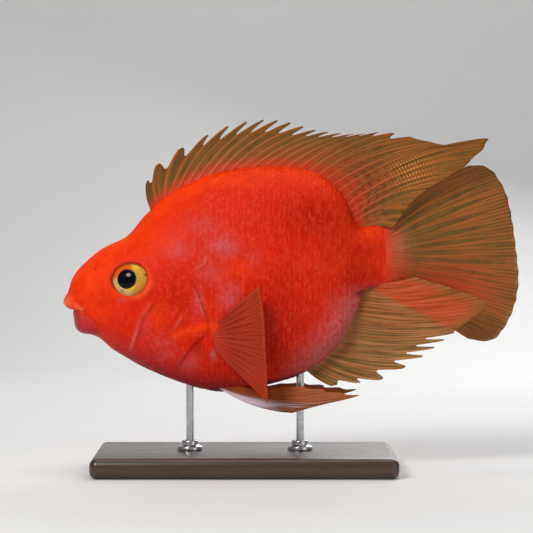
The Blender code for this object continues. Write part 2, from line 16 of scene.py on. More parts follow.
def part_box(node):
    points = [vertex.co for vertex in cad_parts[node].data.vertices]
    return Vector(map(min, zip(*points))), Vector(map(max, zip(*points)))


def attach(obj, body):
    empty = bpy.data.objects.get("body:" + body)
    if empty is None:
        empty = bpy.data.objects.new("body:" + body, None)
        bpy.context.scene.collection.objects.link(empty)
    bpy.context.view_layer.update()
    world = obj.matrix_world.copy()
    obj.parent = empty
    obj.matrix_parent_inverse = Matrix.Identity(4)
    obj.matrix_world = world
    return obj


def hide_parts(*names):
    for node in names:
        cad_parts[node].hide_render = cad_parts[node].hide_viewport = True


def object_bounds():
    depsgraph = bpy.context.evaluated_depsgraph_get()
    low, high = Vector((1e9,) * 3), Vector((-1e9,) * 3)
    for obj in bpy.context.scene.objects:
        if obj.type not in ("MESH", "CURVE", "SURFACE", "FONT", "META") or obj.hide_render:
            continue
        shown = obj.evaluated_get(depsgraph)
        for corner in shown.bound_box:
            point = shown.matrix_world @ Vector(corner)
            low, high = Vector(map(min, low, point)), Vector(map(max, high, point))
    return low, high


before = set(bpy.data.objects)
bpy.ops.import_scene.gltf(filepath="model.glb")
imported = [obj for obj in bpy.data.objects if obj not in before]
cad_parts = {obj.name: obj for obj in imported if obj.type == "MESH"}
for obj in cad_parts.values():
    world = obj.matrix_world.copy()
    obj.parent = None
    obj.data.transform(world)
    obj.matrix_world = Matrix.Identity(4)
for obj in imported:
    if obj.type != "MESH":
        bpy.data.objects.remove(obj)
CAD_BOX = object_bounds()
MM = 0.001
BODY = "root"
SIDES = {"left": -1, "right": 1}

# The body in side view, from the notch of the mouth over the back to the middle
# of the tail root, and from the same notch under the belly to the same end
BACK = [
    (-67.4, 62.9), (-69.4, 64.1), (-71.2, 66.5), (-69.3, 70.6), (-67.9, 75.0), (-65.0, 79.4),
    (-56.1, 87.0), (-46.3, 92.0), (-39.2, 100.1), (-29.4, 108.7), (-11.8, 116.7),
    (11.8, 119.3), (28.8, 116.4), (38.6, 107.6), (44.6, 96.2), (54.6, 96.0), (57.8, 84.2),
]
BELLY = [
    (-67.4, 62.9), (-67.1, 59.6), (-66.4, 56.0), (-64.4, 54.1), (-59.8, 53.2), (-56.9, 51.9),
    (-53.9, 49.3), (-51.6, 47.4), (-39.2, 40.3), (-21.6, 33.4), (-7.0, 30.9), (7.8, 33.4), (24.7, 39.3),
    (37.3, 50.1), (44.0, 63.2), (47.4, 71.2), (54.2, 73.0), (57.8, 84.2),
]
# The widest line along each flank: x, half width, z
FLANK = [
    (-57.6, 9.2, 65.4), (-45.0, 12.8, 66.4), (-33.0, 15.8, 66.2), (-21.0, 17.9, 66.4),
    (-9.0, 19.0, 67.6), (3.0, 18.9, 69.9), (15.0, 17.6, 73.4), (26.0, 15.0, 77.2),
    (35.0, 11.4, 80.6), (42.0, 7.8, 82.8), (48.0, 5.4, 83.9), (52.2, 4.9, 84.2),
]
END_CROWDING = 0.4
BACK_SHARPNESS = 1.2
BELLY_SHARPNESS = 1.0
END_SHARPNESS = 1.0
TURN_START = 15.0
TURN_RATE = 0.0016

# The skin's mesh: stations from mouth to tail, crowded over the head, and points
# from the back's middle line to the belly's on each side, crowded at the mouth
SKIN_STATIONS = 330
HEAD_SHARE = 0.5
HEAD_STATIONS = 0.64
SIDE_POINTS = 112
MOUTH_CROWDING = 2.0
FINE_ANGLES = 60
EASE_STEP = 0.35
EASE_REACH = 5.5
TAIL_NARROWING = 0.4
TAIL_NARROWS = (38.0, 56.0)
SKIN_WELD = 0.002
FINE_WELD = 0.0005
# Where the flank's crease is eased: x and z from and to, and x where the easing rises and falls
EASED_ENDS = [
    ((-74.0, -33.0), (40.0, 98.0), (-36.0, -44.0), (-68.5, -65.0)),
    ((26.0, 60.0), (62.0, 104.0), (30.0, 38.0), (56.5, 54.0)),
]
EASED_PART = (0.5, 0.8)
# Further to the side than any point of the fish
OUTSIDE = 80.0

# Lines in side view that the skin's folds follow
GILL_EDGE = [
    (-23.4, 77.8), (-20.4, 73.8), (-18.0, 68.3), (-15.9, 62.4), (-14.7, 59.0), (-14.4, 56.2),
    (-16.4, 53.4), (-19.6, 50.2), (-23.2, 45.6), (-26.4, 40.6), (-28.5, 37.2),
]
CHEEK_RIDGE = [
    (-34.8, 69.6), (-36.3, 66.6), (-38.0, 63.7), (-40.5, 59.8), (-41.8, 55.6), (-43.5, 50.5), (-45.2, 46.6),
]
FOLDS = {
    "gill_flap": [(-20.4, 73.6), (-18.0, 68.3), (-15.9, 62.4), (-14.7, 59.0)],
    "gill_top": [(-20.2, 78.1), (-18.5, 79.8), (-15.9, 81.5), (-15.1, 83.6), (-13.4, 86.1)],
    "cheek": [(-23.6, 62.4), (-25.7, 59.0), (-27.8, 55.6)],
}
PECTORAL_FOLD = [(-27.0, 54.3), (-20.2, 56.0), (-15.1, 57.3), (-11.3, 56.9)]
MOUTH_LINE = [(-73.0, 63.1), (-67.4, 62.9), (-64.8, 62.8), (-62.7, 62.6), (-61.8, 62.0)]
# The painted highlight on the upper lip's fold follows this line
LIP_HIGHLIGHT = [(-67.0, 65.8), (-64.6, 64.2), (-62.6, 62.6)]
LIP_CREASE = [(-71.0, 70.6), (-69.0, 69.6), (-66.0, 66.2), (-62.9, 63.2)]
JAW_LINE = [(-62.7, 62.5), (-60.4, 61.0), (-58.4, 58.8), (-57.4, 56.2), (-56.9, 52.5)]
LATERAL_LINE = [(-18.0, 83.0), (-4.0, 92.0), (12.0, 97.0), (26.0, 98.0), (34.0, 95.5)]
TAIL_LINE = [(24.0, 82.0), (36.0, 83.6), (46.0, 84.2), (54.0, 84.2)]
BELLY_SHADOW = [(8.0, 34.6), (15.0, 36.0), (24.0, 38.2)]
NOSTRIL = (-58.4, 79.3)
# Soft swellings and hollows: height, x, z, half width, half height
BULGES = [
    (-0.5, -18.4, 48.6, 2.6, 3.2), (0.6, -12.0, 52.2, 2.4, 5.6), (0.45, -46.5, 60.5, 8.0, 6.5),
    (0.25, -60.6, 63.4, 1.8, 2.0),
]

# Eyes
EYE_X = -44.5
EYE_Z = 75.4
EYE_HALF_WIDTH = 7.6
EYE_HALF_HEIGHT = 6.7
EYE_DEPTH = 3.9
EYE_FULLNESS = 0.4
EYE_SINK = 1.7
SOCKET_HALF_WIDTH = 7.15
SOCKET_HALF_HEIGHT = 6.25
# The socket's mean half size, for widths in shares of it
SOCKET_SIZE = 6.6
PUPIL_RADIUS = 3.85
PUPIL_FORWARD = 0.8
PUPIL_BULGE = 0.4
EYE_SPOKES = 72
# Millimetres to one unit of a fin's or an eye's own flat map
CHART_SIZE = 10.0

# Fins. Each key ray gives its number, where it leaves the body and where it ends.
DORSAL_SPINES = 17
DORSAL_KEYS = [
    (0, -37.3, 103.0, -38.8, 112.6), (1, -34.5, 105.2, -35.1, 119.3), (2, -31.2, 107.6, -26.3, 125.7),
    (3, -28.6, 109.2, -15.9, 131.0), (4, -25.5, 111.0, -7.5, 134.8), (6, -18.0, 114.3, 6.7, 137.5),
    (8, -9.0, 117.3, 17.3, 136.5), (10, -0.4, 118.8, 27.1, 133.6), (13, 12.5, 119.3, 42.0, 132.0),
    (16, 25.5, 117.3, 57.3, 132.4), (19, 34.6, 112.0, 80.4, 127.6), (21, 39.0, 107.0, 95.3, 130.1),
    (23, 41.9, 102.0, 86.5, 119.6), (25, 43.9, 98.0, 67.4, 107.0), (26, 45.4, 95.0, 57.8, 95.0),
]
ANAL_SPINES = 7
ANAL_KEYS = [
    (0, 24.3, 39.1, 33.7, 33.2), (1, 27.1, 40.8, 43.5, 34.4), (2, 29.4, 42.5, 52.5, 35.5),
    (3, 31.8, 44.6, 61.6, 40.1), (4, 34.1, 46.6, 69.0, 44.6), (6, 38.2, 51.4, 77.6, 51.2),
    (9, 42.2, 59.4, 88.2, 59.3), (11, 44.2, 63.8, 94.9, 65.5), (12, 45.1, 66.4, 89.8, 68.6),
    (14, 48.8, 73.4, 66.5, 76.2),
]
CAUDAL_KEYS = [
    (0, 54.0, 95.6, 88.2, 119.7), (1, 54.9, 94.4, 94.1, 119.7), (2, 55.4, 92.8, 98.8, 116.7),
    (4, 56.3, 89.8, 104.1, 106.9), (8, 57.2, 84.0, 108.0, 83.8), (10, 56.8, 81.0, 108.6, 72.0),
    (12, 56.0, 78.0, 105.9, 61.0), (14, 54.9, 75.4, 100.0, 51.8), (15, 54.2, 74.2, 94.9, 50.1),
    (16, 53.4, 73.2, 88.2, 51.2),
]
PECTORAL_KEYS = [
    (0, -12.2, 57.5, 5.5, 73.2), (3, -11.8, 55.2, 7.3, 62.2), (6, -11.2, 52.4, 8.0, 50.5),
    (9, -10.6, 49.7, 8.6, 38.7), (12, -10.2, 46.9, 9.0, 28.5),
]
PELVIC_KEYS = [
    (0, -9.8, 32.6, 18.4, 23.4), (1, -8.2, 32.8, 43.9, 30.4), (2, -6.7, 33.0, 37.3, 31.6),
    (3, -5.1, 33.2, 30.2, 32.8), (4, -3.5, 33.4, 22.4, 33.8), (5, -1.6, 33.6, 13.7, 33.6),
]
FIN_ROOT = 2.2
FLESH_REACH = 0.3
DORSAL = {
    "bow": 0.07, "lean": 1.6, "crest": 0.3, "flesh": 0.9, "front_notch": 0.38, "rear_notch": 0.15,
    "soft_notch": 0.014, "columns": 18, "rows": 42,
}
ANAL = {
    "bow": -0.05, "swing": 0.13, "crest": 0.28, "flesh": 0.7, "front_notch": 0.3, "rear_notch": 0.24,
    "soft_notch": 0.02, "columns": 22, "rows": 42,
}
CAUDAL = {"top_bow": 0.07, "crest": 0.26, "flesh": 2.7, "soft_notch": 0.006, "columns": 22, "rows": 50}
PECTORAL = {"crest": 0.16, "flesh": 0.6, "lift": 0.4, "spread": 0.42, "cup": 1.2, "columns": 18, "rows": 30}
PELVIC = {
    "bow": -0.07, "crest": 0.42, "flesh": 0.9, "root_y": 6.6, "spread": 0.2, "tuck": 1.4, "soft_notch": 0.05,
    "columns": 22, "rows": 44,
}
MEMBRANE_HALF = 0.09
EDGE_HALF = 0.04

# Scales
SCALED_LENGTH = (-42.0, 56.0)
COLUMN_PITCH = 2.0
ROW_PITCH = 2.7
ROW_JITTER = 0.13
LIE_JITTER = 0.14
SMALLEST_SCALE = 0.05
MIDDLE_LINE_GAP = 0.4
SCALE_UNEVENNESS = 0.12
SCALE_LENGTH = 3.5
SCALE_WIDTH = 3.4
SCALE_DOME = 0.05
SCALE_FRONT_SINK = -0.15
SCALE_REAR_LIFT = 0.11
SCALE_RINGS = 4
SCALE_SPOKES = 14
SCALE_SEED = 7
SCALE_ANGLES = 240
BAKE_PATCH = 0.003
# The body's length and girth, in millimetres, that fill the chart of the scales
CHART_LENGTH = 110.0
CHART_GIRTH = 240.0
# Steps along each outline, and how many of them lie in front of the first scales
OUTLINE_STEPS = 300
BACK_START = 40
BELLY_START = 30

# Stand
BASE_CORNER = 3.0
ROD_XS = {"front": -21.6, "rear": 21.6}
ROD_RADIUS = 1.5
COLLAR_RADIUS = 5.0
COLLAR_HEIGHT = 3.6
COLLAR_GAP = 0.3
SHARP_ANGLE = math.radians(35)

# Colours, linear red, green and blue
FLANK_RED = (0.68, 0.015, 0.002)
BACK_ORANGE = (0.94, 0.048, 0.002)
DEEP_RED = (0.44, 0.006, 0.001)
PINK = (0.64, 0.10, 0.11)
# The lower jaw's own purplish red; on the throat partly that colour, partly painted shade under the head
VIOLET = (0.32, 0.04, 0.06)
# The lower rear flank's own lilac; also a painted highlight at the pectoral fin's base
LILAC = (0.52, 0.18, 0.19)
# Painted highlight along the cheek ridge and the gill folds
FOLD_HIGHLIGHT = (0.66, 0.16, 0.13)
FRECKLE = (0.88, 0.09, 0.025)
# Painted shade in the grooves, the nostril, the hollow behind the gill cover and round the eye socket
CREASE_SHADE = (0.16, 0.006, 0.003)
# The lips' own light orange, also a painted highlight along the upper lip's fold
LIP_ORANGE = (0.98, 0.17, 0.05)
# Painted sheen on the scales' rims and in the skin's fine upright streaks
SCALE_RIM_SHEEN = (0.92, 0.10, 0.05)
# Painted shade: the shadow in the gap between belly and pelvic fin, and the dark corner of anal fin and tail
# root
PAINTED_SHADE_BLUE = (0.030, 0.014, 0.045)
FIN_DARK = (0.12, 0.016, 0.004)
# Painted gold glints on the dorsal fin's rear
FIN_GLINT = (0.95, 0.42, 0.08)
# Each kind of fin's tints, in the order of the parts, and how solid its membrane is
FIN_PARTS = ("Membrane", "Ray", "Flesh", "Pale")
FIN_TINTS = {
    "amber_fin": ((0.135, 0.085, 0.009), (0.42, 0.11, 0.014), (0.68, 0.026, 0.003), (0.56, 0.28, 0.11), 0.93),
    "pale_fin": ((0.22, 0.044, 0.007), (0.44, 0.12, 0.022), (0.60, 0.03, 0.005), (0.66, 0.48, 0.56), 0.95),
    "body_fin": ((0.36, 0.020, 0.004), (0.44, 0.045, 0.008), (0.62, 0.02, 0.003), (0.78, 0.12, 0.03), 0.66),
}
# How strongly the streaks of painted sheen show on the bare skin
SKIN_STREAKS = 0.3

# Soft oval spots of the colours' masks: strength, x, z, half width, half height
SPOTS = {
    "orange": [
        (0.9, -60.0, 76.0, 14.0, 13.0), (0.8, -40.0, 93.0, 12.0, 10.0), (0.95, 49.5, 93.5, 6.5, 3.6),
        (0.6, -2.0, 79.0, 9.0, 4.0), (0.4, 36.0, 82.0, 18.0, 4.0), (0.5, -58.0, 63.0, 7.0, 6.0),
        (0.5, -33.0, 62.0, 5.0, 5.0),
    ],
    "deep": [
        (0.75, 27.0, 100.0, 15.0, 9.0), (0.6, 14.0, 58.0, 9.0, 20.0), (0.55, -26.0, 70.0, 8.0, 9.0),
        (0.5, 44.0, 78.0, 9.0, 6.0),
    ],
    "pink": [
        (1.0, -7.8, 88.5, 6.0, 5.0), (0.6, -25.5, 86.5, 6.0, 4.5), (0.9, -5.9, 68.9, 4.5, 5.5),
        (0.55, -13.0, 78.0, 7.0, 6.0), (0.75, -47.4, 67.3, 2.2, 1.1), (0.55, -18.0, 66.0, 3.0, 6.0),
        (0.4, -38.5, 56.0, 4.0, 8.0), (0.45, -31.0, 51.0, 6.0, 5.0), (0.35, 3.0, 84.0, 5.0, 5.0),
        (0.4, -16.0, 96.0, 8.0, 5.0), (0.7, -22.0, 43.0, 5.0, 5.0), (0.5, -30.0, 46.0, 7.0, 3.5),
    ],
    "violet": [],
    # A painted bluish highlight at the lower end of the pectoral fin's base
    "lilac": [(0.8, -12.2, 46.0, 1.4, 2.4)],
    # Painted shade in the corner where the anal fin meets the tail root
    "painted_shade": [(0.8, 45.2, 69.6, 2.4, 1.6)],
    "pale": [],
    "lip": [(0.85, -70.0, 66.0, 2.6, 2.8)],
    # Painted shade in the hollow behind the gill cover
    "crease": [(0.4, -18.4, 48.6, 2.4, 3.0)],
}

# Studio. Each light has its place, size, power and tint.
LIGHTS = {
    "key_light": ((-420.0, -700.0, 620.0), 320.0, 5.7, (1.0, 0.98, 0.95)),
    "fill_light": ((620.0, -620.0, 260.0), 600.0, 1.0, (0.96, 0.98, 1.0)),
    "top_light": ((60.0, 60.0, 820.0), 700.0, 2.4, (1.0, 1.0, 1.0)),
    "rear_light": ((250.0, 620.0, 420.0), 500.0, 2.1, (1.0, 1.0, 1.0)),
}
SWEEP_WIDTH = 6000.0
SWEEP_FRONT = -5000.0
SWEEP_DEPTH = 900.0
SWEEP_HEIGHT = 1800.0
SWEEP_BEND = 350.0
CAMERA_TARGET = (8.43, 0.0, 80.06)
CAMERA_ELEVATION = 1.5
CAMERA_LENS = 180.0
PICTURE_WIDTH = 209.0

# How Blender stores one, two or three numbers a point
LAYERS = {1: ("FLOAT", "value"), 2: ("FLOAT2", "vector"), 3: ("FLOAT_VECTOR", "vector")}


def blend(table, at):
    """The rows of values at the given places on a smooth curve through the table's rows."""
    table = np.asarray(table, float)
    at = np.atleast_1d(np.asarray(at, float))
    keys, rows = table[:, 0], table[:, 1:]
    last = len(keys) - 1
    start = np.searchsorted(keys[1:last], at, side="left")
    end, before, after = start + 1, np.maximum(start - 1, 0), np.minimum(start + 2, last)
    span = (keys[end] - keys[start])[:, None]
    t = np.clip((at - keys[start])[:, None] / span, 0.0, 1.0)
    rise = (rows[end] - rows[before]) / (keys[end] - keys[before])[:, None] * span
    fall = (rows[after] - rows[start]) / (keys[after] - keys[start])[:, None] * span
    return (
        (2 * t**3 - 3 * t**2 + 1) * rows[start] + (t**3 - 2 * t**2 + t) * rise
        + (3 * t**2 - 2 * t**3) * rows[end] + (t**3 - t**2) * fall
    )


def measured(points):
    """The points with the share of the length so far in front of each."""
    points = np.asarray(points, float)
    steps = np.linalg.norm(np.diff(points, axis=0), axis=1)
    lengths = np.concatenate(([0.0], np.cumsum(steps)))
    return np.column_stack((lengths / lengths[-1], points))


def smooth(low, high, value):
    """0 at low, 1 at high and a soft step between; low may be the larger."""
    t = np.clip((value - low) / (high - low), 0.0, 1.0)
    return t * t * (3 - 2 * t)


def hill(distance, width):
    """1 at no distance, falling softly over the width."""
    return np.exp(-((distance / width) ** 2))


def spot(side_view, x, z, half_width, half_height):
    """A soft oval spot in side view."""
    return np.exp(-(((side_view[:, 0] - x) / half_width) ** 2 + ((side_view[:, 1] - z) / half_height) ** 2))


def along(side_view, line, steps=28):
    """Distance to a smooth line in side view, positive on its left, and the share along it."""
    curve = blend(measured(line), np.linspace(0.0, 1.0, steps + 1))
    best = np.full(len(side_view), np.inf)
    share = np.zeros(len(side_view))
    hand = np.ones(len(side_view))
    for index, (start, run) in enumerate(zip(curve[:-1], np.diff(curve, axis=0))):
        offset = side_view - start
        t = np.clip(offset @ run / (run @ run), 0.0, 1.0)
        gap = np.linalg.norm(offset - t[:, None] * run, axis=1)
        nearer = gap < best
        best[nearer] = gap[nearer]
        share[nearer] = (index + t[nearer]) / steps
        cross = run[0] * offset[:, 1] - run[1] * offset[:, 0]
        hand[nearer] = np.where(cross[nearer] < 0, -1.0, 1.0)
    return best * hand, share


def faded(share, start=0.12, end=0.12):
    """1 along a line and 0 at its ends."""
    return smooth(0.0, start, share) * smooth(1.0, 1.0 - end, share)


def turn(x):
    """How far the tail's turn moves the body's middle plane at x."""
    return TURN_RATE * np.maximum(x - TURN_START, 0.0) ** 2


def side_profiles(shares, angles):
    """For each share of the body's length, its section from back to belly on one side."""
    where = shares - END_CROWDING * np.sin(2 * np.pi * shares) / (2 * np.pi)
    flank_x = FLANK[0][0] + (FLANK[-1][0] - FLANK[0][0]) * where
    half, flank_z = blend(FLANK, flank_x).T
    halves = []
    for outline, sharpness in ((BACK, BACK_SHARPNESS), (BELLY, BELLY_SHARPNESS)):
        edge_x, edge_z = blend(measured(outline), where).T
        power = END_SHARPNESS + (sharpness - END_SHARPNESS) * np.sin(np.pi * where)
        sine, cosine = np.sin(angles)[None, :], np.cos(angles)[None, :]
        x = flank_x[:, None] + (edge_x - flank_x)[:, None] * sine
        z = flank_z[:, None] + (edge_z - flank_z)[:, None] * sine
        y = half[:, None] * np.maximum(cosine, 0.0) ** power[:, None]
        y[:, -1] = 0.0
        halves.append(np.stack((x, y, z), axis=-1))
    back, belly = halves
    return np.concatenate((back[:, ::-1], belly[:, 1:]), axis=1)


def evened(profile, crowding):
    """A section's points set at even steps, closer together near the mouth's height."""
    steps = np.linalg.norm(np.diff(profile, axis=0), axis=1)
    middles = 0.5 * (profile[1:] + profile[:-1])
    steps *= 1.0 + crowding * hill(middles[:, 2] - MOUTH_LINE[1][1], 4.0)
    lengths = np.concatenate(([0.0], np.cumsum(steps)))
    wanted = np.linspace(0.0, lengths[-1], SIDE_POINTS)
    return np.column_stack([np.interp(wanted, lengths, profile[:, axis]) for axis in range(3)])


def within(points):
    """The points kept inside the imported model's box."""
    low, high = (np.array(corner) / MM for corner in CAD_BOX)
    return np.clip(points, low + 0.01, high - 0.01)


def placed(name, data):
    """A new object in the scene."""
    made = bpy.data.objects.new(name, data)
    bpy.context.scene.collection.objects.link(made)
    return made


def mesh_object(name, points, faces):
    """An object from points in millimetres and a list of faces."""
    mesh = bpy.data.meshes.new(name)
    mesh.from_pydata((np.asarray(points) * MM).tolist(), [], faces)
    mesh.update()
    return placed(name, mesh)


def tube_faces(rings, around, closed=False):
    """Four-sided faces over a tube of rings of points, joined end to end if closed."""
    index = np.arange(rings * around).reshape(rings, around)
    here, beyond = (index, np.roll(index, -1, 0)) if closed else (index[:-1], index[1:])
    corners = (here, np.roll(here, -1, 1), np.roll(beyond, -1, 1), beyond)
    return np.stack(corners, axis=-1).reshape(-1, 4).tolist()


def tidy_mesh(obj, weld=0.0):
    """Weld points closer than this, turn the faces outward and shade them smooth."""
    bm = bmesh.new()
    bm.from_mesh(obj.data)
    if weld:
        bmesh.ops.remove_doubles(bm, verts=bm.verts, dist=weld * MM)
    bmesh.ops.recalc_face_normals(bm, faces=bm.faces)
    bm.to_mesh(obj.data)
    bm.free()
    obj.data.shade_smooth()


def fetched(items, key, width):
    """The numbers of a mesh's items, as rows of this width."""
    numbers = np.empty(len(items) * width, np.float32)
    items.foreach_get(key, numbers)
    return numbers.reshape(-1, width)


def places_of(obj):
    """The object's points in millimetres."""
    return fetched(obj.data.vertices, "co", 3).astype(float) / MM


def set_places(obj, points):
    """Move the object's points, given in millimetres."""
    obj.data.vertices.foreach_set("co", (points * MM).astype(np.float32).ravel())
    obj.data.update()


def normals_of(obj):
    """The object's directions outward at its points."""
    return fetched(obj.data.vertex_normals, "vector", 3).astype(float)


def values_of(obj, name):
    """The values stored at the object's points under this name."""
    return fetched(obj.data.attributes[name].data, "value", 1)[:, 0]


def store(obj, **rows):
    """Store numbers, pairs or directions at the object's points."""
    for name, values in rows.items():
        values = np.asarray(values, np.float32)
        kind, key = LAYERS[values.shape[1] if values.ndim > 1 else 1]
        layer = obj.data.attributes.new(name, kind, "POINT")
        layer.data.foreach_set(key, values.ravel())


def write_values(obj, **masks):
    """Store masks from 0 to 1 at the object's points, for the material to read."""
    store(obj, **{name: np.clip(mask, 0.0, 1.0) for name, mask in masks.items()})


def write_map(obj, label, places):
    """Store a flat map from a place per point."""
    corners = np.empty(len(obj.data.loops), np.int32)
    obj.data.loops.foreach_get("vertex_index", corners)
    layer = obj.data.uv_layers.new(name=label)
    layer.data.foreach_set("uv", places[corners].astype(np.float32).ravel())


def half_widths(tree, xs, zs):
    """The body's half width over a grid in side view, 0 beyond its outline."""
    widths = np.zeros((len(xs), len(zs)))
    for column, x in enumerate(xs):
        for row, z in enumerate(zs):
            place = tree.ray_cast(Vector((x, -OUTSIDE, z)) * MM, Vector((0.0, 1.0, 0.0)))[0]
            if place is not None:
                widths[column, row] = max(turn(x) - place.y / MM, 0.0)
    return widths


def blurred(grid, reach):
    """The grid's values blurred over a reach given in its steps."""
    span = np.arange(-int(3 * reach), int(3 * reach) + 1)
    kernel = np.exp(-0.5 * (span / reach) ** 2)
    for axis in (0, 1):
        grid = np.apply_along_axis(np.convolve, axis, grid, kernel / kernel.sum(), mode="same")
    return grid


def eased(skin, xs, zs, share_at):
    """Soften the crease that the sections' fan leaves along the flank near either end."""
    widths = half_widths(tree_of(skin), xs, zs)
    inside = (widths > 0).astype(float)
    soft = blurred(widths**2, EASE_REACH) / np.maximum(blurred(inside, EASE_REACH), 1e-3)
    points = places_of(skin)
    near = (points[:, 0] > xs[1]) & (points[:, 0] < xs[-2])
    x, y, z = points[near].T
    across = np.clip((x - xs[0]) / EASE_STEP, 0, len(xs) - 1.001)
    upward = np.clip((z - zs[0]) / EASE_STEP, 0, len(zs) - 1.001)
    column, row = across.astype(int), upward.astype(int)
    s, t = across - column, upward - row
    new = (soft[column, row] * (1 - s) * (1 - t) + soft[column + 1, row] * s * (1 - t)
           + soft[column, row + 1] * (1 - s) * t + soft[column + 1, row + 1] * s * t)
    centre = turn(x)
    old = np.abs(y - centre)
    widest = np.interp(x, xs, widths.max(axis=1))
    share = share_at(x) * smooth(*EASED_PART, old / np.maximum(widest, 0.1))
    points[near, 1] = centre + np.sign(y - centre) * (old + share * (np.sqrt(new) - old))
    set_places(skin, points)


def plain_skin():
    """The body from mouth to tail root as one closed fine mesh, before its folds."""
    head = int(SKIN_STATIONS * HEAD_STATIONS)
    shares = np.concatenate((
        np.linspace(0.0, HEAD_SHARE, head, endpoint=False),
        np.linspace(HEAD_SHARE, 1.0, SKIN_STATIONS - head + 1),
    ))
    rings = []
    for profile in side_profiles(shares, np.linspace(0.0, 0.5 * np.pi, FINE_ANGLES)):
        crowding = MOUTH_CROWDING * smooth(-46.0, -58.0, profile[FINE_ANGLES - 1, 0])
        near = evened(profile, crowding)
        ring = np.concatenate((near * (1, -1, 1), near[::-1][1:-1]))
        ring[:, 1] += turn(ring[:, 0])
        rings.append(ring)
    rings = np.array(rings)
    skin = mesh_object("skin", rings.reshape(-1, 3), tube_faces(*rings.shape[:2]))
    tidy_mesh(skin, SKIN_WELD)
    for (x_from, x_to), (z_from, z_to), rise, fall in EASED_ENDS:
        eased(skin, np.arange(x_from, x_to, EASE_STEP), np.arange(z_from, z_to, EASE_STEP),
              lambda x, rise=rise, fall=fall: smooth(*rise, x) * smooth(*fall, x))
    points = places_of(skin)
    middle = turn(points[:, 0])
    narrowed = 1.0 - TAIL_NARROWING * smooth(*TAIL_NARROWS, points[:, 0])
    points[:, 1] = middle + (points[:, 1] - middle) * narrowed
    set_places(skin, points)
    return skin


def tree_of(obj):
    """A search tree of the object's surface, in metres."""
    bm = bmesh.new()
    bm.from_mesh(obj.data)
    tree = BVHTree.FromBMesh(bm)
    bm.free()
    return tree


def flank_point(tree, x, z, side):
    """The point and outward direction of the flank at x, z, in millimetres."""
    start = Vector((x, side * OUTSIDE, z)) * MM
    place, normal, _, _ = tree.ray_cast(start, Vector((0.0, -side, 0.0)))
    return np.array(place) / MM, np.array(normal)


def eye_axes(tree, side):
    """An eye's middle, and its outward, forward and upward directions."""
    place, outward = flank_point(tree, EYE_X, EYE_Z, side)
    forward = np.array((-1.0, 0.0, 0.0))
    forward -= forward @ outward * outward
    forward /= np.linalg.norm(forward)
    upward = np.cross(outward, forward) * side
    upward *= np.sign(upward[2])
    return place - outward * EYE_SINK, outward, forward, upward


def socket_reach(points, axes):
    """Distance from an eye's middle line, in shares of the socket's half sizes."""
    middle, outward, forward, upward = axes
    offset = points - middle
    near = offset @ outward > -4.0
    reach = np.hypot(offset @ forward / SOCKET_HALF_WIDTH, offset @ upward / SOCKET_HALF_HEIGHT)
    return np.where(near, reach, np.inf)


def eye_relief(points, axes):
    """The skin dips under the eyeball and rises a little round it."""
    reach = socket_reach(points, axes)
    rim = 0.2 * hill((reach - 1.1) * SOCKET_HALF_WIDTH, 0.6)
    dip = 2.6 * smooth(1.0, 0.86, reach) + 0.15 * hill((reach - 1.0) * SOCKET_HALF_WIDTH, 0.35)
    brow = 0.2 * hill((reach - 1.35) * SOCKET_HALF_WIDTH, 2.4)
    return rim + brow - dip


def mouth_relief(side_view):
    """Lips, the slit between them and the line behind the lower jaw."""
    above, share = along(side_view, MOUTH_LINE)
    crease, crease_share = along(side_view, LIP_CREASE)
    jaw, jaw_share = along(side_view, JAW_LINE)
    lips = 0.4 * hill(above - 1.7, 1.2) + 0.1 * hill(above + 1.3, 0.9)
    slit = 0.5 * hill(above, 0.26) * smooth(1.0, 0.9, share)
    crease_cut = 0.2 * hill(crease, 0.6) * faded(crease_share, 0.3, 0.05)
    jaw_cut = 0.22 * hill(jaw, 0.6) * smooth(1.0, 0.7, jaw_share)
    return lips * smooth(-61.2, -64.5, side_view[:, 0]) - slit - crease_cut - jaw_cut


def gill_relief(side_view):
    """The gill cover's free edge, the ridge on the cheek and the folds behind it."""
    outside, share = along(side_view, GILL_EDGE, 60)
    cover = 0.42 * smooth(0.35, -0.35, outside) * np.exp(-np.maximum(-outside, 0.0) / 5.0)
    total = (cover - 0.25 * hill(outside - 0.8, 0.8)) * faded(share, 0.15, 0.25)
    behind, share = along(side_view, CHEEK_RIDGE)
    total += (0.13 * hill(behind, 0.9) - 0.2 * hill(behind - 1.2, 0.7)) * faded(share, 0.25, 0.3)
    for line in FOLDS.values():
        gap, share = along(side_view, line, 12)
        total += 0.14 * hill(gap, 0.55) * faded(share, 0.3, 0.3)
    gap, share = along(side_view, PECTORAL_FOLD, 12)
    return total + 0.45 * hill(gap, 1.2) * faded(share, 0.3, 0.1)


def throat_relief(side_view):
    """Thin folds of the gill membrane under the head."""
    depth = along(side_view, BELLY[7:10], 20)[0]
    folds = 0.12 * np.sin(depth * 2 * np.pi / 1.5)
    return folds * spot(side_view, -34.0, 43.0, 9.0, 3.5)


def relief(points, eyes):
    """How far the skin stands out from the plain body."""
    side_view = points[:, [0, 2]]
    total = mouth_relief(side_view) + gill_relief(side_view) + throat_relief(side_view)
    for height, *oval in BULGES:
        total += height * spot(side_view, *oval)
    pit = np.hypot(side_view[:, 0] - NOSTRIL[0], side_view[:, 1] - NOSTRIL[1])
    total += 0.1 * hill(pit - 1.1, 0.4) - 0.6 * hill(pit, 0.5)
    for line in (LATERAL_LINE, TAIL_LINE):
        gap, share = along(side_view, line)
        total -= 0.05 * hill(gap, 0.5) * faded(share)
    for axes in eyes:
        total += eye_relief(points, axes)
    return total


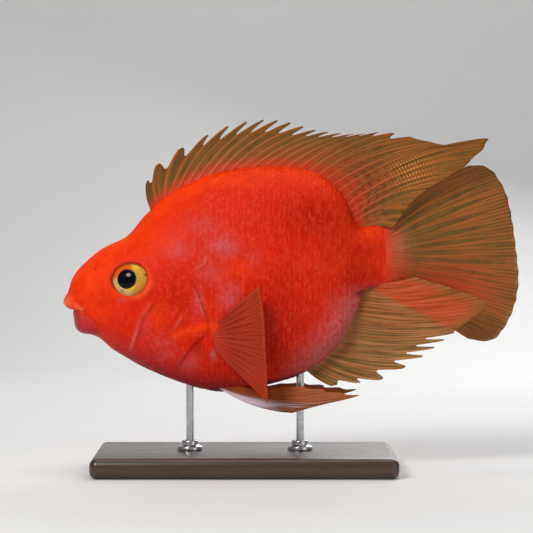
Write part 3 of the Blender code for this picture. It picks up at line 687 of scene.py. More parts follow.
def markings(points, eyes):
    """Masks from 0 to 1 for the fish's colours, on skin and scales, some of them painted shade and painted
    highlights. The strongest layer counts.
    """
    side_view = points[:, [0, 2]]
    x, z = side_view.T
    back_gap = along(side_view, BACK[4:], 60)[0]
    belly_gap = np.abs(along(side_view, BELLY, 60)[0])
    above = along(side_view, MOUTH_LINE)[0]
    jaw, jaw_share = along(side_view, JAW_LINE)
    behind, ridge_share = along(side_view, CHEEK_RIDGE)
    outside, edge_share = along(side_view, GILL_EDGE, 60)
    lip_highlight, lip_highlight_share = along(side_view, LIP_HIGHLIGHT, 12)
    layers = {name: [strength * spot(side_view, *oval) for strength, *oval in ovals]
              for name, ovals in SPOTS.items()}
    layers["orange"] += [
        0.95 * hill(back_gap, 7.5) * smooth(60.0, 20.0, x),
        0.85 * hill(along(side_view, PECTORAL_FOLD, 12)[0], 1.9),
    ]
    on_jaw = smooth(2.2, -3.2, jaw) * smooth(0.3, -0.3, above) * smooth(-53.0, -57.0, x)
    # Under the head and breast partly own purplish colour, partly painted shade; on the lower jaw own colour
    layers["violet"] += [
        0.75 * hill(belly_gap, 5.5) * smooth(-62.0, -40.0, x) * smooth(10.0, -8.0, x),
        (0.5 + 0.4 * smooth(4.0, 0.5, belly_gap)) * on_jaw,
    ]
    layers["lilac"] += [
        hill(belly_gap, 9.5) * smooth(6.0, 28.0, x) * smooth(77.0, 65.0, z),
        0.8 * hill(belly_gap, 1.0) * smooth(-50.0, -58.0, x) * smooth(62.0, 60.0, z),
    ]
    # Painted shadow in the gap between the belly and the pelvic fin
    layers["painted_shade"] += [0.75 * hill(along(side_view, BELLY_SHADOW, 8)[0], 1.1)]
    # Painted highlight along the cheek ridge and the folds behind it
    ridge = 0.25 + 0.45 * smooth(0.4, 0.8, ridge_share)
    layers["pale"] += [ridge * hill(behind, 0.7) * faded(ridge_share, 0.2, 0.12)]
    for line in FOLDS.values():
        gap, share = along(side_view, line, 12)
        layers["pale"] += [0.65 * hill(gap, 0.45) * faded(share, 0.3, 0.3)]
    # Painted highlight along the fold of the upper lip
    layers["lip"] += [0.65 * hill(lip_highlight, 0.85) * faded(lip_highlight_share, 0.2, 0.2)]
    # Painted shade along the jaw line, outside the gill edge, behind the cheek ridge and in the nostril
    layers["crease"] += [
        0.15 * hill(jaw, 0.6) * smooth(1.0, 0.6, jaw_share),
        0.3 * hill(outside - 0.7, 0.7) * faded(edge_share, 0.2, 0.2),
        0.3 * hill(behind - 1.3, 0.7) * faded(ridge_share, 0.2, 0.3),
        0.7 * hill(np.hypot(x - NOSTRIL[0], z - NOSTRIL[1]), 0.45),
    ]
    for axes in eyes:
        middle, _, forward, upward = axes
        reach = socket_reach(points, axes)
        ahead, up = (points - middle) @ forward, (points - middle) @ upward
        top = smooth(-3.0, 5.0, up + 0.5 * ahead)
        ring = hill((reach - 1.12) * SOCKET_SIZE, 1.1)
        # Painted shade round the eye socket, darker and wider towards the top
        layers["crease"] += [(0.25 + 0.5 * top) * hill((reach - 0.98) * SOCKET_SIZE, 0.4 + 0.5 * top)]
        layers["orange"] += [ring * (1 - 0.7 * top)]
        layers["lip"] += [0.35 * ring * smooth(1.0, -3.0, up) * smooth(1.0, -3.0, ahead)]
    return {name: np.maximum.reduce(masks) for name, masks in layers.items()}


class Nodes:
    """Short ways to add nodes to one tree. A value may be a socket or plain."""

    def __init__(self, tree):
        self.tree = tree

    def fill(self, socket, value):
        """Link the socket to another, or set its own value."""
        if isinstance(value, bpy.types.NodeSocket):
            self.tree.links.new(value, socket)
        else:
            socket.default_value = value

    def add(self, kind, inputs=None, **settings):
        """A node with its properties set, then its inputs filled."""
        node = self.tree.nodes.new(kind)
        for name, value in settings.items():
            setattr(node, name, value)
        for key, value in (inputs or {}).items():
            self.fill(node.inputs[key], value)
        return node

    def mix(self, share, first, second, mode="MIX"):
        """The colour between two colours."""
        full = [(*colour, 1.0) if isinstance(colour, tuple) else colour for colour in (first, second)]
        node = self.add("ShaderNodeMix", {"Factor": share, "A": full[0], "B": full[1]},
                        data_type="RGBA", blend_type=mode)
        return node.outputs["Result"]

    def layered(self, colour, *layers):
        """The colour with each layer's tint laid over it by the layer's share."""
        for share, tint in layers:
            colour = self.mix(share, colour, tint)
        return colour

    def math(self, operation, *values):
        """The result of a sum on values."""
        return self.add("ShaderNodeMath", dict(enumerate(values)), operation=operation).outputs[0]

    def times(self, product, *values):
        """The product of the values."""
        for value in values:
            product = self.math("MULTIPLY", product, value)
        return product

    def wave(self, value, rate):
        """The sine of a value at a rate."""
        return self.math("SINE", self.times(value, rate))

    def ranged(self, value, low, high, to_low=0.0, to_high=1.0):
        """The value moved from one range to another."""
        return self.add("ShaderNodeMapRange", {
            "Value": value, "From Min": low, "From Max": high, "To Min": to_low, "To Max": to_high,
        }).outputs["Result"]

    def stored(self, name):
        """The value stored at each point under this name."""
        return self.add("ShaderNodeAttribute", attribute_name=name).outputs["Fac"]

    def place(self):
        """The place on the object, in metres."""
        return self.add("ShaderNodeTexCoord").outputs["Object"]

    def chart(self):
        """The flat map named chart, and its two parts."""
        chart = self.add("ShaderNodeUVMap", uv_map="chart").outputs["UV"]
        parts = self.add("ShaderNodeSeparateXYZ", {0: chart}).outputs
        return chart, parts["X"], parts["Y"]

    def stretched(self, place, scale):
        """The place with each direction scaled."""
        return self.add("ShaderNodeMapping", {"Vector": place, "Scale": scale}).outputs["Vector"]

    def noise(self, place, scale, detail=3.0, roughness=0.55):
        """Soft noise from 0 to 1. A scale of three numbers stretches it."""
        if isinstance(scale, tuple):
            place, scale = self.stretched(place, scale), 1.0
        return self.add("ShaderNodeTexNoise", {
            "Vector": place, "Scale": scale, "Detail": detail, "Roughness": roughness}).outputs["Fac"]


def new_group(name, inputs, outputs):
    """A shader node group: its nodes, its inputs to read and its outputs to fill."""
    group = bpy.data.node_groups.new(name, "ShaderNodeTree")
    for label, kind, value in inputs:
        group.interface.new_socket(label, in_out="INPUT", socket_type=kind).default_value = value
    for label, kind in outputs:
        group.interface.new_socket(label, in_out="OUTPUT", socket_type=kind)
    return Nodes(group), group.nodes.new("NodeGroupInput").outputs, group.nodes.new("NodeGroupOutput").inputs


def fish_colour_group():
    """The fish's colours from its markings, with mottling and fine upright streaks of painted sheen; some
    layers are painted shade and painted highlights.
    """
    inputs = [(name, "NodeSocketFloat", 0.0) for name in SPOTS] + [("streaks", "NodeSocketFloat", 1.0)]
    nodes, masks, end = new_group(
        "fish_colours", inputs, [("Color", "NodeSocketColor"), ("Mottle", "NodeSocketFloat")])
    where = nodes.place()
    mottle = nodes.noise(where, 170.0, 6.0, 0.66)
    uneven = nodes.math("MULTIPLY_ADD", mottle, 0.9, 0.55)
    grains = nodes.ranged(nodes.noise(where, 640.0, 4.0, 0.6), 0.34, 0.66, 0.35, 1.2)
    streaks = nodes.ranged(nodes.noise(where, (1100.0, 500.0, 260.0), 2.0), 0.46, 0.62)
    specks = nodes.ranged(nodes.noise(where, 620.0, 2.0), 0.5, 0.75)

    def broken(name, low, high, by=uneven):
        """A mask with its soft edge broken up by a noise."""
        return nodes.ranged(nodes.times(masks[name], by), low, high)

    broad = nodes.ranged(nodes.noise(where, 38.0, 2.0), 0.35, 0.7)
    colour = nodes.layered(
        nodes.mix(broad, FLANK_RED, tuple(1.08 * c for c in FLANK_RED)),
        (broken("orange", 0.0, 1.0), BACK_ORANGE),
        (broken("deep", 0.0, 1.1), DEEP_RED),
        (broken("pink", 0.08, 1.0, grains), PINK),
        # Purplish red, under the head partly painted shade
        (broken("violet", 0.0, 1.0), VIOLET),
        # Own lilac, and a painted highlight at the pectoral fin's base
        (broken("lilac", 0.05, 1.15, grains), LILAC),
        # Painted shade under the belly and in the anal fin's corner
        (broken("painted_shade", 0.1, 1.0), PAINTED_SHADE_BLUE),
        # Fine upright streaks of painted sheen
        (nodes.times(streaks, masks["streaks"], 0.18), SCALE_RIM_SHEEN),
        (nodes.times(specks, 0.3), FRECKLE),
        (nodes.times(nodes.ranged(mottle, 0.55, 0.3), 0.22), DEEP_RED),
        # The lips' own orange, with a painted highlight along the upper lip's fold
        (masks["lip"], LIP_ORANGE),
        # Painted highlight along the folds
        (broken("pale", 0.0, 1.0, grains), FOLD_HIGHLIGHT),
        # Painted shade in the creases and round the eye
        (masks["crease"], CREASE_SHADE))
    nodes.fill(end["Color"], colour)
    nodes.fill(end["Mottle"], mottle)
    return nodes.tree


def new_material(name, **settings):
    """A material with its shader's own sockets set, and its nodes."""
    made = bpy.data.materials.new(name)
    made.use_nodes = True
    shader = made.node_tree.nodes["Principled BSDF"]
    for label, value in settings.items():
        shader.inputs[label.replace("_", " ")].default_value = value
    return made, Nodes(made.node_tree)


def dress(nodes, height, strength, distance, **sockets):
    """Link the shader's sockets, and its bump from a height."""
    shader = nodes.tree.nodes["Principled BSDF"]
    bump = nodes.add("ShaderNodeBump", {"Height": height, "Strength": strength, "Distance": distance * MM})
    nodes.fill(shader.inputs["Normal"], bump.outputs["Normal"])
    for label, value in sockets.items():
        nodes.fill(shader.inputs[label.replace("_", " ")], value)


def fish_colours(nodes, group):
    """The fish's colours, from the masks stored on the piece."""
    return nodes.add("ShaderNodeGroup", {name: nodes.stored(name) for name in SPOTS}, node_tree=group)


def skin_material(group):
    """Wet, smooth skin in the fish's colours."""
    made, nodes = new_material(
        "red_skin", Specular_IOR_Level=0.06, Subsurface_Weight=0.05, Subsurface_Scale=0.0012)
    colours = fish_colours(nodes, group)
    colours.inputs["streaks"].default_value = SKIN_STREAKS
    where = nodes.place()
    pores = nodes.noise(where, 1500.0, 3.0, 0.6)
    wrinkles = nodes.noise(where, (300.0, 300.0, 700.0))
    dress(nodes, nodes.math("MULTIPLY_ADD", pores, 0.5, wrinkles), 0.35, 0.12,
          Base_Color=colours.outputs["Color"],
          Roughness=nodes.ranged(colours.outputs["Mottle"], 0.3, 0.7, 0.36, 0.52))
    return made


def scale_material(group):
    """Thin scales in the same colours, each with a painted sheen lightening its rim, and fine growth rings.
    """
    made, nodes = new_material("red_scales", Specular_IOR_Level=0.06)
    plain = fish_colours(nodes, group).outputs["Color"]
    rim, tone = nodes.stored("rim"), nodes.stored("tone")
    # Painted sheen lightens each scale's rim
    lighter = nodes.mix(0.3, plain, SCALE_RIM_SHEEN)
    rimmed = nodes.mix(nodes.times(nodes.ranged(rim, 0.7, 1.0), 0.6), plain, lighter)
    mark = nodes.times(
        nodes.ranged(tone, 0.0, 1.0, 0.04, 0.16), nodes.stored("full"), nodes.stored("base"))
    value = nodes.math("SUBTRACT", nodes.ranged(tone, 0.0, 1.0, 0.93, 1.05), mark)
    shade = nodes.add("ShaderNodeHueSaturation", {"Color": rimmed, "Value": value})
    grain = nodes.noise(nodes.place(), 2200.0, 2.0)
    dress(nodes, nodes.math("MULTIPLY_ADD", nodes.wave(rim, 26.0), 0.4, grain), 0.18, 0.05,
          Base_Color=shade.outputs["Color"], Roughness=nodes.ranged(tone, 0.0, 1.0, 0.38, 0.52))
    return made


def make_skin(colours):
    """The one skin over the whole body, a search tree of it before its folds, and both eyes' axes."""
    skin = plain_skin()
    tree = tree_of(skin)
    eyes = [eye_axes(tree, side) for side in SIDES.values()]
    plain = places_of(skin)
    lift = relief(plain, eyes)
    set_places(skin, within(plain + normals_of(skin) * lift[:, None]))
    write_values(skin, **markings(plain, eyes))
    skin.data.materials.append(skin_material(colours))
    return skin, tree, eyes


def scale_column(tree, side, x, low, top):
    """One flank at x, from below to above: its middle's height, points, directions and lengths."""
    middle_z = blend(FLANK, min(max(x, FLANK[0][0]), FLANK[-1][0]))[0][1]
    core = Vector((x, float(turn(x)), middle_z)) * MM
    places, normals = [], []
    for step in range(SCALE_ANGLES + 1):
        angle = math.pi * (step / SCALE_ANGLES - 0.5)
        heading = Vector((0.0, side * math.cos(angle), math.sin(angle)))
        place, normal, _, _ = tree.ray_cast(core, heading)
        if place is not None and low - 1.0 < place.z / MM < top + 1.0:
            places.append(np.array(place) / MM)
            normals.append(np.array(normal))
    steps = np.linalg.norm(np.diff(places, axis=0), axis=1)
    return middle_z, np.array(places), np.array(normals), np.concatenate(([0.0], np.cumsum(steps)))


def scale_points(tree, side, eyes):
    """Roots of the scales on one flank, in upright columns of evenly spaced rows."""
    found = []
    rng = np.random.default_rng(SCALE_SEED + side)
    first, last = SCALED_LENGTH
    back, belly = (blend(measured(line), np.linspace(0, 1, OUTLINE_STEPS)) for line in (BACK, BELLY))
    for column in range(int((last - first) / COLUMN_PITCH)):
        x = first + column * COLUMN_PITCH
        low, top = np.interp(x, *belly[BELLY_START:].T), np.interp(x, *back[BACK_START:].T)
        middle_z, places, normals, lengths = scale_column(tree, side, x, low, top)
        start = np.interp(middle_z, places[:, 2], lengths)
        lowest = math.ceil(-start / ROW_PITCH)
        highest = math.floor((lengths[-1] - start) / ROW_PITCH)
        stagger = 0.5 if column % 2 else 0.0
        for row in range(lowest, highest + 1):
            length = start + (row + stagger + ROW_JITTER * rng.normal()) * ROW_PITCH
            if not MIDDLE_LINE_GAP < length < lengths[-1] - MIDDLE_LINE_GAP:
                continue
            root, normal = (np.array([np.interp(length, lengths, rows[:, axis]) for axis in range(3)])
                            for rows in (places, normals))
            normal /= np.linalg.norm(normal)
            lie = np.array((1.0, 0.0, 0.0)) - normal[0] * normal
            lie /= np.linalg.norm(lie)
            chart = (column * COLUMN_PITCH / CHART_LENGTH, 0.5 + (length - start) / CHART_GIRTH)
            found.append((root + LIE_JITTER * rng.normal() * lie, normal, lie, chart))
    roots, outward, lies, charts = map(np.array, zip(*found))
    scaled = scaled_part(roots, eyes)
    keep = scaled > SMALLEST_SCALE
    return roots[keep], outward[keep], lies[keep], charts[keep], scaled[keep]


def scaled_part(points, eyes):
    """The scales' size: full on the body, smaller on gill cover, nape and tail, none on the face."""
    side_view = points[:, [0, 2]]
    x, z = side_view.T
    outside, _ = along(side_view, GILL_EDGE, 60)
    cover = 0.72 * smooth(-43.0, -36.0, x) * smooth(90.0, 84.0, z) * smooth(-0.5, -2.0, outside)
    body = smooth(0.4, 2.2, outside) * smooth(-27.0, -17.0, x + 0.9 * (z - 80.0) * (z > 80.0))
    nape = 0.8 * smooth(-44.0, -34.0, x) * smooth(82.0, 92.0, z)
    size = np.maximum.reduce((cover, body, nape)) * (1.0 - 0.35 * smooth(40.0, 54.0, x))
    for axes in eyes:
        size *= smooth(1.5, 1.9, socket_reach(points, axes))
    gap, _ = along(side_view, CHEEK_RIDGE)
    return size * smooth(0.8, 2.0, gap + 3.0 * (z > 72.0))


def scale_plate():
    """One thin round scale, a little domed, its front edge sunk and its rear edge free."""
    points, rims, bases = [(0.0, 0.0, SCALE_DOME)], [0.0], [0.8]
    for ring in range(1, SCALE_RINGS + 1):
        share = ring / SCALE_RINGS
        for spoke in range(SCALE_SPOKES):
            angle = 2 * math.pi * spoke / SCALE_SPOKES
            x = 0.5 * SCALE_LENGTH * share * math.cos(angle)
            y = 0.5 * SCALE_WIDTH * share * math.sin(angle)
            along_share = 0.5 + x / SCALE_LENGTH
            tilt = SCALE_FRONT_SINK + (SCALE_REAR_LIFT - SCALE_FRONT_SINK) * along_share
            points.append((x, y, SCALE_DOME * (1 - share**2) + tilt * share**0.5))
            rims.append(share * (0.35 + 0.65 * along_share))
            side_share = 1.0 - abs(2 * y / SCALE_WIDTH)
            bases.append(hill(along_share - 0.56, 0.15) * side_share**0.6)
    faces = []
    for spoke in range(SCALE_SPOKES):
        beside = (spoke + 1) % SCALE_SPOKES
        faces.append((0, 1 + spoke, 1 + beside))
        for here in range(1, 1 + (SCALE_RINGS - 1) * SCALE_SPOKES, SCALE_SPOKES):
            beyond = here + SCALE_SPOKES
            faces.append((here + spoke, beyond + spoke, beyond + beside, here + beside))
    plate = mesh_object("scale_plate", points, faces)
    plate.data.shade_smooth()
    store(plate, local=np.array(points)[:, :2] / SCALE_LENGTH)
    write_values(plate, rim=rims, base=bases)
    return plate


def scale_tree():
    """Geometry nodes that set a scale on each root, along its lie, a little uneven."""
    tree = bpy.data.node_groups.new("scales_on_roots", "GeometryNodeTree")
    for label, kind in (("Geometry", "Geometry"), ("Scale", "Object"), ("Unevenness", "Float"),
                        ("Seed", "Int"), ("Finish", "Material")):
        tree.interface.new_socket(label, in_out="INPUT", socket_type="NodeSocket" + kind)
    tree.interface.new_socket("Geometry", in_out="OUTPUT", socket_type="NodeSocketGeometry")
    nodes = Nodes(tree)
    start = tree.nodes.new("NodeGroupInput").outputs

    def named(name, kind="FLOAT_VECTOR"):
        """What is stored on the roots under this name."""
        node = nodes.add("GeometryNodeInputNamedAttribute", {"Name": name}, data_type=kind)
        return node.outputs["Attribute"]

    plate = nodes.add("GeometryNodeObjectInfo", {"Object": start["Scale"]})
    stand_up = nodes.add("FunctionNodeAlignRotationToVector", {"Vector": named("outward")}, axis="Z")
    point_back = nodes.add("FunctionNodeAlignRotationToVector", {
        "Rotation": stand_up.outputs["Rotation"], "Vector": named("lie")}, axis="X", pivot_axis="Z")
    uneven = nodes.add("FunctionNodeRandomValue", {
        "Min": nodes.math("SUBTRACT", 1.0, start["Unevenness"]),
        "Max": nodes.math("ADD", 1.0, start["Unevenness"]), "Seed": start["Seed"]}, data_type="FLOAT")
    on_roots = nodes.add("GeometryNodeInstanceOnPoints", {
        "Points": start["Geometry"], "Instance": plate.outputs["Geometry"],
        "Rotation": point_back.outputs["Rotation"],
        "Scale": nodes.times(named("size", "FLOAT"), uneven.outputs[1])})
    real = nodes.add("GeometryNodeRealizeInstances", {"Geometry": on_roots.outputs["Instances"]})
    finished = nodes.add("GeometryNodeSetMaterial", {
        "Geometry": real.outputs["Geometry"], "Material": start["Finish"]})
    nodes.fill(tree.nodes.new("NodeGroupOutput").inputs["Geometry"], finished.outputs["Geometry"])
    return tree


def set_inputs(modifier, **values):
    """Fill a geometry modifier's inputs, found by their names, through their identifiers."""
    for item in modifier.node_group.interface.items_tree:
        if item.item_type == "SOCKET" and item.in_out == "INPUT" and item.name in values:
            modifier[item.identifier] = values[item.name]


def applied(obj):
    """Replace the object's mesh by what its modifiers make of it."""
    graph = bpy.context.evaluated_depsgraph_get()
    mesh = bpy.data.meshes.new_from_object(obj.evaluated_get(graph), depsgraph=graph)
    obj.modifiers.clear()
    old = obj.data
    obj.data = mesh
    bpy.data.meshes.remove(old)
    return obj


def make_scales(label, side, tree, plate, nodes, look, eyes):
    """The scales of one flank as one mesh."""
    roots, outward, lies, charts, sizes = scale_points(tree, side, eyes)
    rng = np.random.default_rng(SCALE_SEED + side)
    lift = relief(roots, eyes)
    scales = mesh_object("scales_" + label, roots + outward * lift[:, None], [])
    store(scales, outward=outward, lie=lies, chart=charts, size=sizes, tone=rng.random(len(roots)))
    modifier = scales.modifiers.new("scales", "NODES")
    modifier.node_group = nodes
    set_inputs(modifier, Scale=plate, Unevenness=SCALE_UNEVENNESS, Seed=SCALE_SEED, Finish=look)
    applied(scales)
    bake_map(scales)
    full = smooth(0.6, 1.0, values_of(scales, "size"))
    write_values(scales, full=full, **markings(places_of(scales), eyes))
    for name in ("outward", "lie", "chart", "local", "size"):
        scales.data.attributes.remove(scales.data.attributes[name])
    return scales


def bake_map(scales):
    """A map where each scale is a small patch at its root's place on the body's own chart."""
    chart, local = (fetched(scales.data.attributes[name].data, "vector", 2) for name in ("chart", "local"))
    write_map(scales, "OFBake", chart + BAKE_PATCH * local)


def fin_rays(columns, out, spines):
    """How near each point of a fin is to the crest of a ray, from 0 to 1."""
    offset = columns - np.round(columns)
    spine = np.abs(offset) / (0.22 - 0.11 * out)
    first = np.clip((out - 0.22) / 0.6, 0.0, 1.0) ** 0.8
    second = np.clip((out - 0.5) / 0.45, 0.0, 1.0) ** 0.8
    nearest = np.full(np.broadcast(columns, out).shape, np.inf)
    for one in (-0.25, 0.25):
        for two in (-0.125, 0.125):
            nearest = np.minimum(nearest, np.abs(offset - one * first - two * second))
    branch = nearest / (0.13 - 0.065 * out)
    gap = np.where(columns < spines - 0.5, spine, branch)
    return np.sqrt(np.maximum(1.0 - gap**2, 0.0))


def fin_reach(columns, form, spines):
    """How far out the membrane goes at each column: highest close behind a spine."""
    past = columns % 1.0
    depth = form.get("front_notch", 0.0)
    depth = depth + (form.get("rear_notch", 0.0) - depth) * np.clip(columns / max(spines, 1), 0.0, 1.0)
    leaf = np.where(past < 0.8, smooth(0.06, 0.8, past) ** 1.3, smooth(1.0, 0.86, past))
    soft = form.get("soft_notch", 0.0) * np.sin(np.pi * past) ** 2
    return 1.0 - np.where(columns < spines, depth * leaf, soft)


def fin_sheet(name, keys, form, middle, spines=0, notched=True):
    """A thin fin with its rays raised in both faces, and what its material reads stored on it."""
    last = keys[-1][0]
    columns = np.linspace(0.0, last, last * form["columns"] + 1)
    root_x, root_z, tip_x, tip_z = blend(keys, columns).T
    root, tip = np.column_stack((root_x, root_z)), np.column_stack((tip_x, tip_z))
    length = np.linalg.norm(tip - root, axis=1)
    heading = (tip - root) / length[:, None]
    across = np.column_stack((-heading[:, 1], heading[:, 0]))
    reach = fin_reach(columns, form, spines) if notched else np.ones_like(columns)
    rows = np.linspace(0.0, 1.0, form["rows"] + 1)
    shares = np.column_stack((-FIN_ROOT / length, reach[:, None] * rows[None, :]))
    out = np.maximum(shares, 0.0)
    bowed = form.get("bow", 0.0) + form.get("top_bow", 0.0) * smooth(0.35, 0.0, columns / last)
    bow = 4 * out * (1 - out) * (bowed * length)[:, None]
    place = root[:, None] + (tip - root)[:, None] * shares[..., None] + across[:, None] * bow[..., None]
    grid = np.broadcast_to(columns[:, None], out.shape)
    on_ray = fin_rays(grid, out, spines)
    half = EDGE_HALF + (MEMBRANE_HALF - EDGE_HALF) * smooth(1.0, 0.9, out / reach[:, None])
    half = half + (form["crest"] - MEMBRANE_HALF) * (1.0 - out) ** 0.7 * on_ray
    round_root = np.sqrt(np.maximum(1.0 - (2 * grid / last - 1.0) ** 2, 0.0))
    half = half + form["flesh"] * np.maximum(1.0 - out / FLESH_REACH, 0.0) ** 2 * round_root
    centre = middle(out, place[..., 0], root_x[:, None])
    both_faces = [np.stack((place[..., 0], centre + side * half, place[..., 1]), axis=-1) for side in (-1, 1)]
    index = np.arange(out.size).reshape(out.shape)
    corners = (index[:-1, :-1], index[:-1, 1:], index[1:, 1:], index[1:, :-1])
    quads = np.stack(corners, axis=-1).reshape(-1, 4)
    rim = np.concatenate((index[:, 0], index[-1, 1:], index[::-1, -1][1:], index[0, ::-1][1:]))
    strip = np.stack((rim[:-1], rim[1:], rim[1:] + out.size, rim[:-1] + out.size), axis=-1)
    points = within(np.reshape(both_faces, (-1, 3)))
    fin = mesh_object(name, points, np.concatenate((quads, quads[:, ::-1] + out.size, strip)).tolist())
    write_values(fin, **{label: np.tile(values.ravel(), 2) for label, values in (
        ("ray", on_ray), ("out", out), ("strip", grid / last))})
    chart = np.stack((grid, out * length[:, None] / CHART_SIZE), axis=-1).reshape(-1, 2)
    write_map(fin, "chart", np.tile(chart, (2, 1)))
    tidy_mesh(fin)
    return fin


def make_fins(tree):
    """All seven fins, with the places of their own markings stored on them."""
    def dorsal_middle(out, x, root_x):
        return turn(root_x) - DORSAL["lean"] * out**2

    def anal_middle(out, x, root_x):
        return turn(root_x) - ANAL["swing"] * np.maximum(x - root_x, 0.0)

    def caudal_middle(out, x, root_x):
        return turn(x)

    fins = {
        "dorsal_fin": fin_sheet("dorsal_fin_skin", DORSAL_KEYS, DORSAL, dorsal_middle, DORSAL_SPINES),
        "anal_fin": fin_sheet("anal_fin_skin", ANAL_KEYS, ANAL, anal_middle, ANAL_SPINES),
        "tail_fin": fin_sheet("tail_fin_skin", CAUDAL_KEYS, CAUDAL, caudal_middle),
    }
    for label, side in SIDES.items():
        root = PECTORAL_KEYS[len(PECTORAL_KEYS) // 2]
        root_y = abs(flank_point(tree, root[1], root[2], side)[0][1]) + PECTORAL["lift"]

        def pectoral_middle(out, x, root_x, side=side, root_y=root_y):
            return side * (root_y + PECTORAL["spread"] * (x - root_x) + PECTORAL["cup"] * out**2)

        def pelvic_middle(out, x, root_x, side=side):
            return side * (PELVIC["root_y"] + PELVIC["spread"] * (x - root_x) - PELVIC["tuck"] * out)

        fins["pectoral_fin_" + label] = fin_sheet(
            "pectoral_fin_skin_" + label, PECTORAL_KEYS, PECTORAL, pectoral_middle, notched=False)
        fins["pelvic_fin_" + label] = fin_sheet(
            "pelvic_fin_skin_" + label, PELVIC_KEYS, PELVIC, pelvic_middle)
    for node, fin in fins.items():
        write_values(fin, **fin_markings(node, fin))
    return fins


def fin_markings(node, fin):
    """Masks for a fin's colours: red flesh, dark spots, painted gold glints and pale edges."""
    side_view = places_of(fin)[:, [0, 2]]
    x, z = side_view.T
    out, strip = values_of(fin, "out"), values_of(fin, "strip")
    dark = gold = np.zeros(len(x))
    if node == "dorsal_fin":
        dark = spot(side_view, 50.0, 112.0, 13.0, 15.0)
        # Painted gold glints
        gold = spot(side_view, 64.5, 118.0, 8.0, 6.5)
        pale = np.zeros(len(x))
        red = np.maximum.reduce((
            0.95 * smooth(0.3, 0.02, out),
            0.35 * smooth(0.8, 1.0, out) * spot(side_view, 45.0, 134.0, 18.0, 6.0),
            0.4 * smooth(0.6, 0.05, out) * smooth(0.2, 0.5, strip),
        ))
    elif node == "anal_fin":
        upper = smooth(-1.6, 1.6, z - 71.4 + 0.515 * (x - 49.4))
        pale = (1.0 - 0.6 * upper) * np.maximum(
            0.4 + 0.35 * smooth(0.3, 0.9, out) * smooth(0.7, 0.2, strip),
            0.9 * smooth(0.16, 0.0, out) * smooth(0.95, 0.6, strip),
        )
        red = np.maximum.reduce((
            0.285 * smooth(0.17, 0.0, out),
            0.2 * smooth(0.4, 0.8, strip) * smooth(0.95, 0.4, out),
            0.78 * upper * smooth(1.05, 0.75, out),
        ))
    elif node == "tail_fin":
        pale = np.maximum(
            0.85 * smooth(0.965, 1.0, out) * smooth(0.25, 0.5, strip),
            0.55 * spot(side_view, 59.5, 88.0, 4.5, 7.0),
        )
        red = np.maximum.reduce((
            smooth(0.2 + 0.2 * smooth(0.4, 0.8, strip), 0.0, out),
            0.7 * smooth(0.05, 0.0, strip) * smooth(1.0, 0.6, out),
            0.9 * spot(side_view, 76.0, 70.0, 21.0, 9.5),
        ))
    elif node.startswith("pelvic"):
        pale = smooth(0.22, 0.08, strip) * smooth(0.95, 0.55, out)
        red = 0.2 * smooth(0.15, 0.5, strip)
    else:
        pale = 0.5 * smooth(0.93, 1.0, out) + 0.4 * smooth(0.03, 0.0, strip)
        red = 0.3 + 0.6 * smooth(0.35, 0.0, out)
    return {"red": red, "dark": dark, "gold": gold, "pale": pale}


def fin_colour_group():
    """A fin's colours from its rays and markings, how solid it is and the height of its fibres."""
    inputs = [(name, "NodeSocketColor", (0.5, 0.5, 0.5, 1.0)) for name in FIN_PARTS]
    nodes, tints, end = new_group("fin_colours", inputs, [
        ("Color", "NodeSocketColor"), ("Solid", "NodeSocketFloat"), ("Height", "NodeSocketFloat")])
    membrane, ray_colour, flesh, pale_colour = (tints[name] for name in FIN_PARTS)
    ray, red, pale = (nodes.stored(name) for name in ("ray", "red", "pale"))
    chart, across, outward = nodes.chart()
    mottle = nodes.noise(nodes.place(), 260.0)
    fibres = nodes.noise(chart, (34.0, 2.2, 1.0))
    stripes = nodes.noise(chart, (6.0, 0.45, 1.0))
    bundles = nodes.noise(chart, (2.6, 0.35, 1.0))
    darker = nodes.mix(1.0, membrane, (0.72, 0.64, 0.6), "MULTIPLY")
    streaks = nodes.times(
        nodes.ranged(stripes, 0.36, 0.6, 0.45, 1.0), nodes.ranged(bundles, 0.3, 0.55, 0.6, 1.0))
    red_parts = nodes.math("MAXIMUM", streaks, nodes.ranged(red, 0.8, 1.0))
    pale_parts = nodes.math(
        "MAXIMUM", nodes.ranged(stripes, 0.44, 0.58, 0.1, 1.0), nodes.ranged(pale, 0.8, 1.0))
    drift = nodes.math("MULTIPLY_ADD", bundles, 14.0, nodes.times(outward, 17.0))
    dark_share = nodes.times(
        nodes.ranged(nodes.math("SINE", drift), -0.2, 0.8), nodes.math("SUBTRACT", 1.0, ray),
        nodes.stored("dark"), 0.6)
    dashes = nodes.ranged(nodes.wave(outward, 48.0), 0.1, 0.6)
    dash_rows = nodes.ranged(nodes.wave(across, 4 * math.pi), 0.2, 0.7)
    colour = nodes.layered(
        nodes.mix(nodes.ranged(mottle, 0.35, 0.65), membrane, darker),
        (nodes.times(nodes.ranged(stripes, 0.46, 0.62), 0.6), ray_colour),
        (nodes.times(nodes.ranged(fibres, 0.42, 0.7), 0.3), ray_colour),
        (nodes.times(ray, nodes.ranged(bundles, 0.35, 0.62, 0.3, 1.0)), ray_colour),
        (nodes.times(red, red_parts), flesh),
        (dark_share, FIN_DARK),
        (nodes.times(pale, pale_parts), pale_colour),
        # Painted gold glints in dashes
        (nodes.times(dashes, dash_rows, nodes.stored("gold")), FIN_GLINT))
    solid = ray
    for part in (dark_share, red, pale):
        solid = nodes.math("MAXIMUM", solid, part)
    joint = nodes.times(nodes.ranged(nodes.wave(outward, 62.0), 0.3, 1.0), ray)
    nodes.fill(end["Color"], colour)
    nodes.fill(end["Solid"], solid)
    nodes.fill(end["Height"], nodes.math("MULTIPLY_ADD", joint, 0.6, fibres))
    return nodes.tree


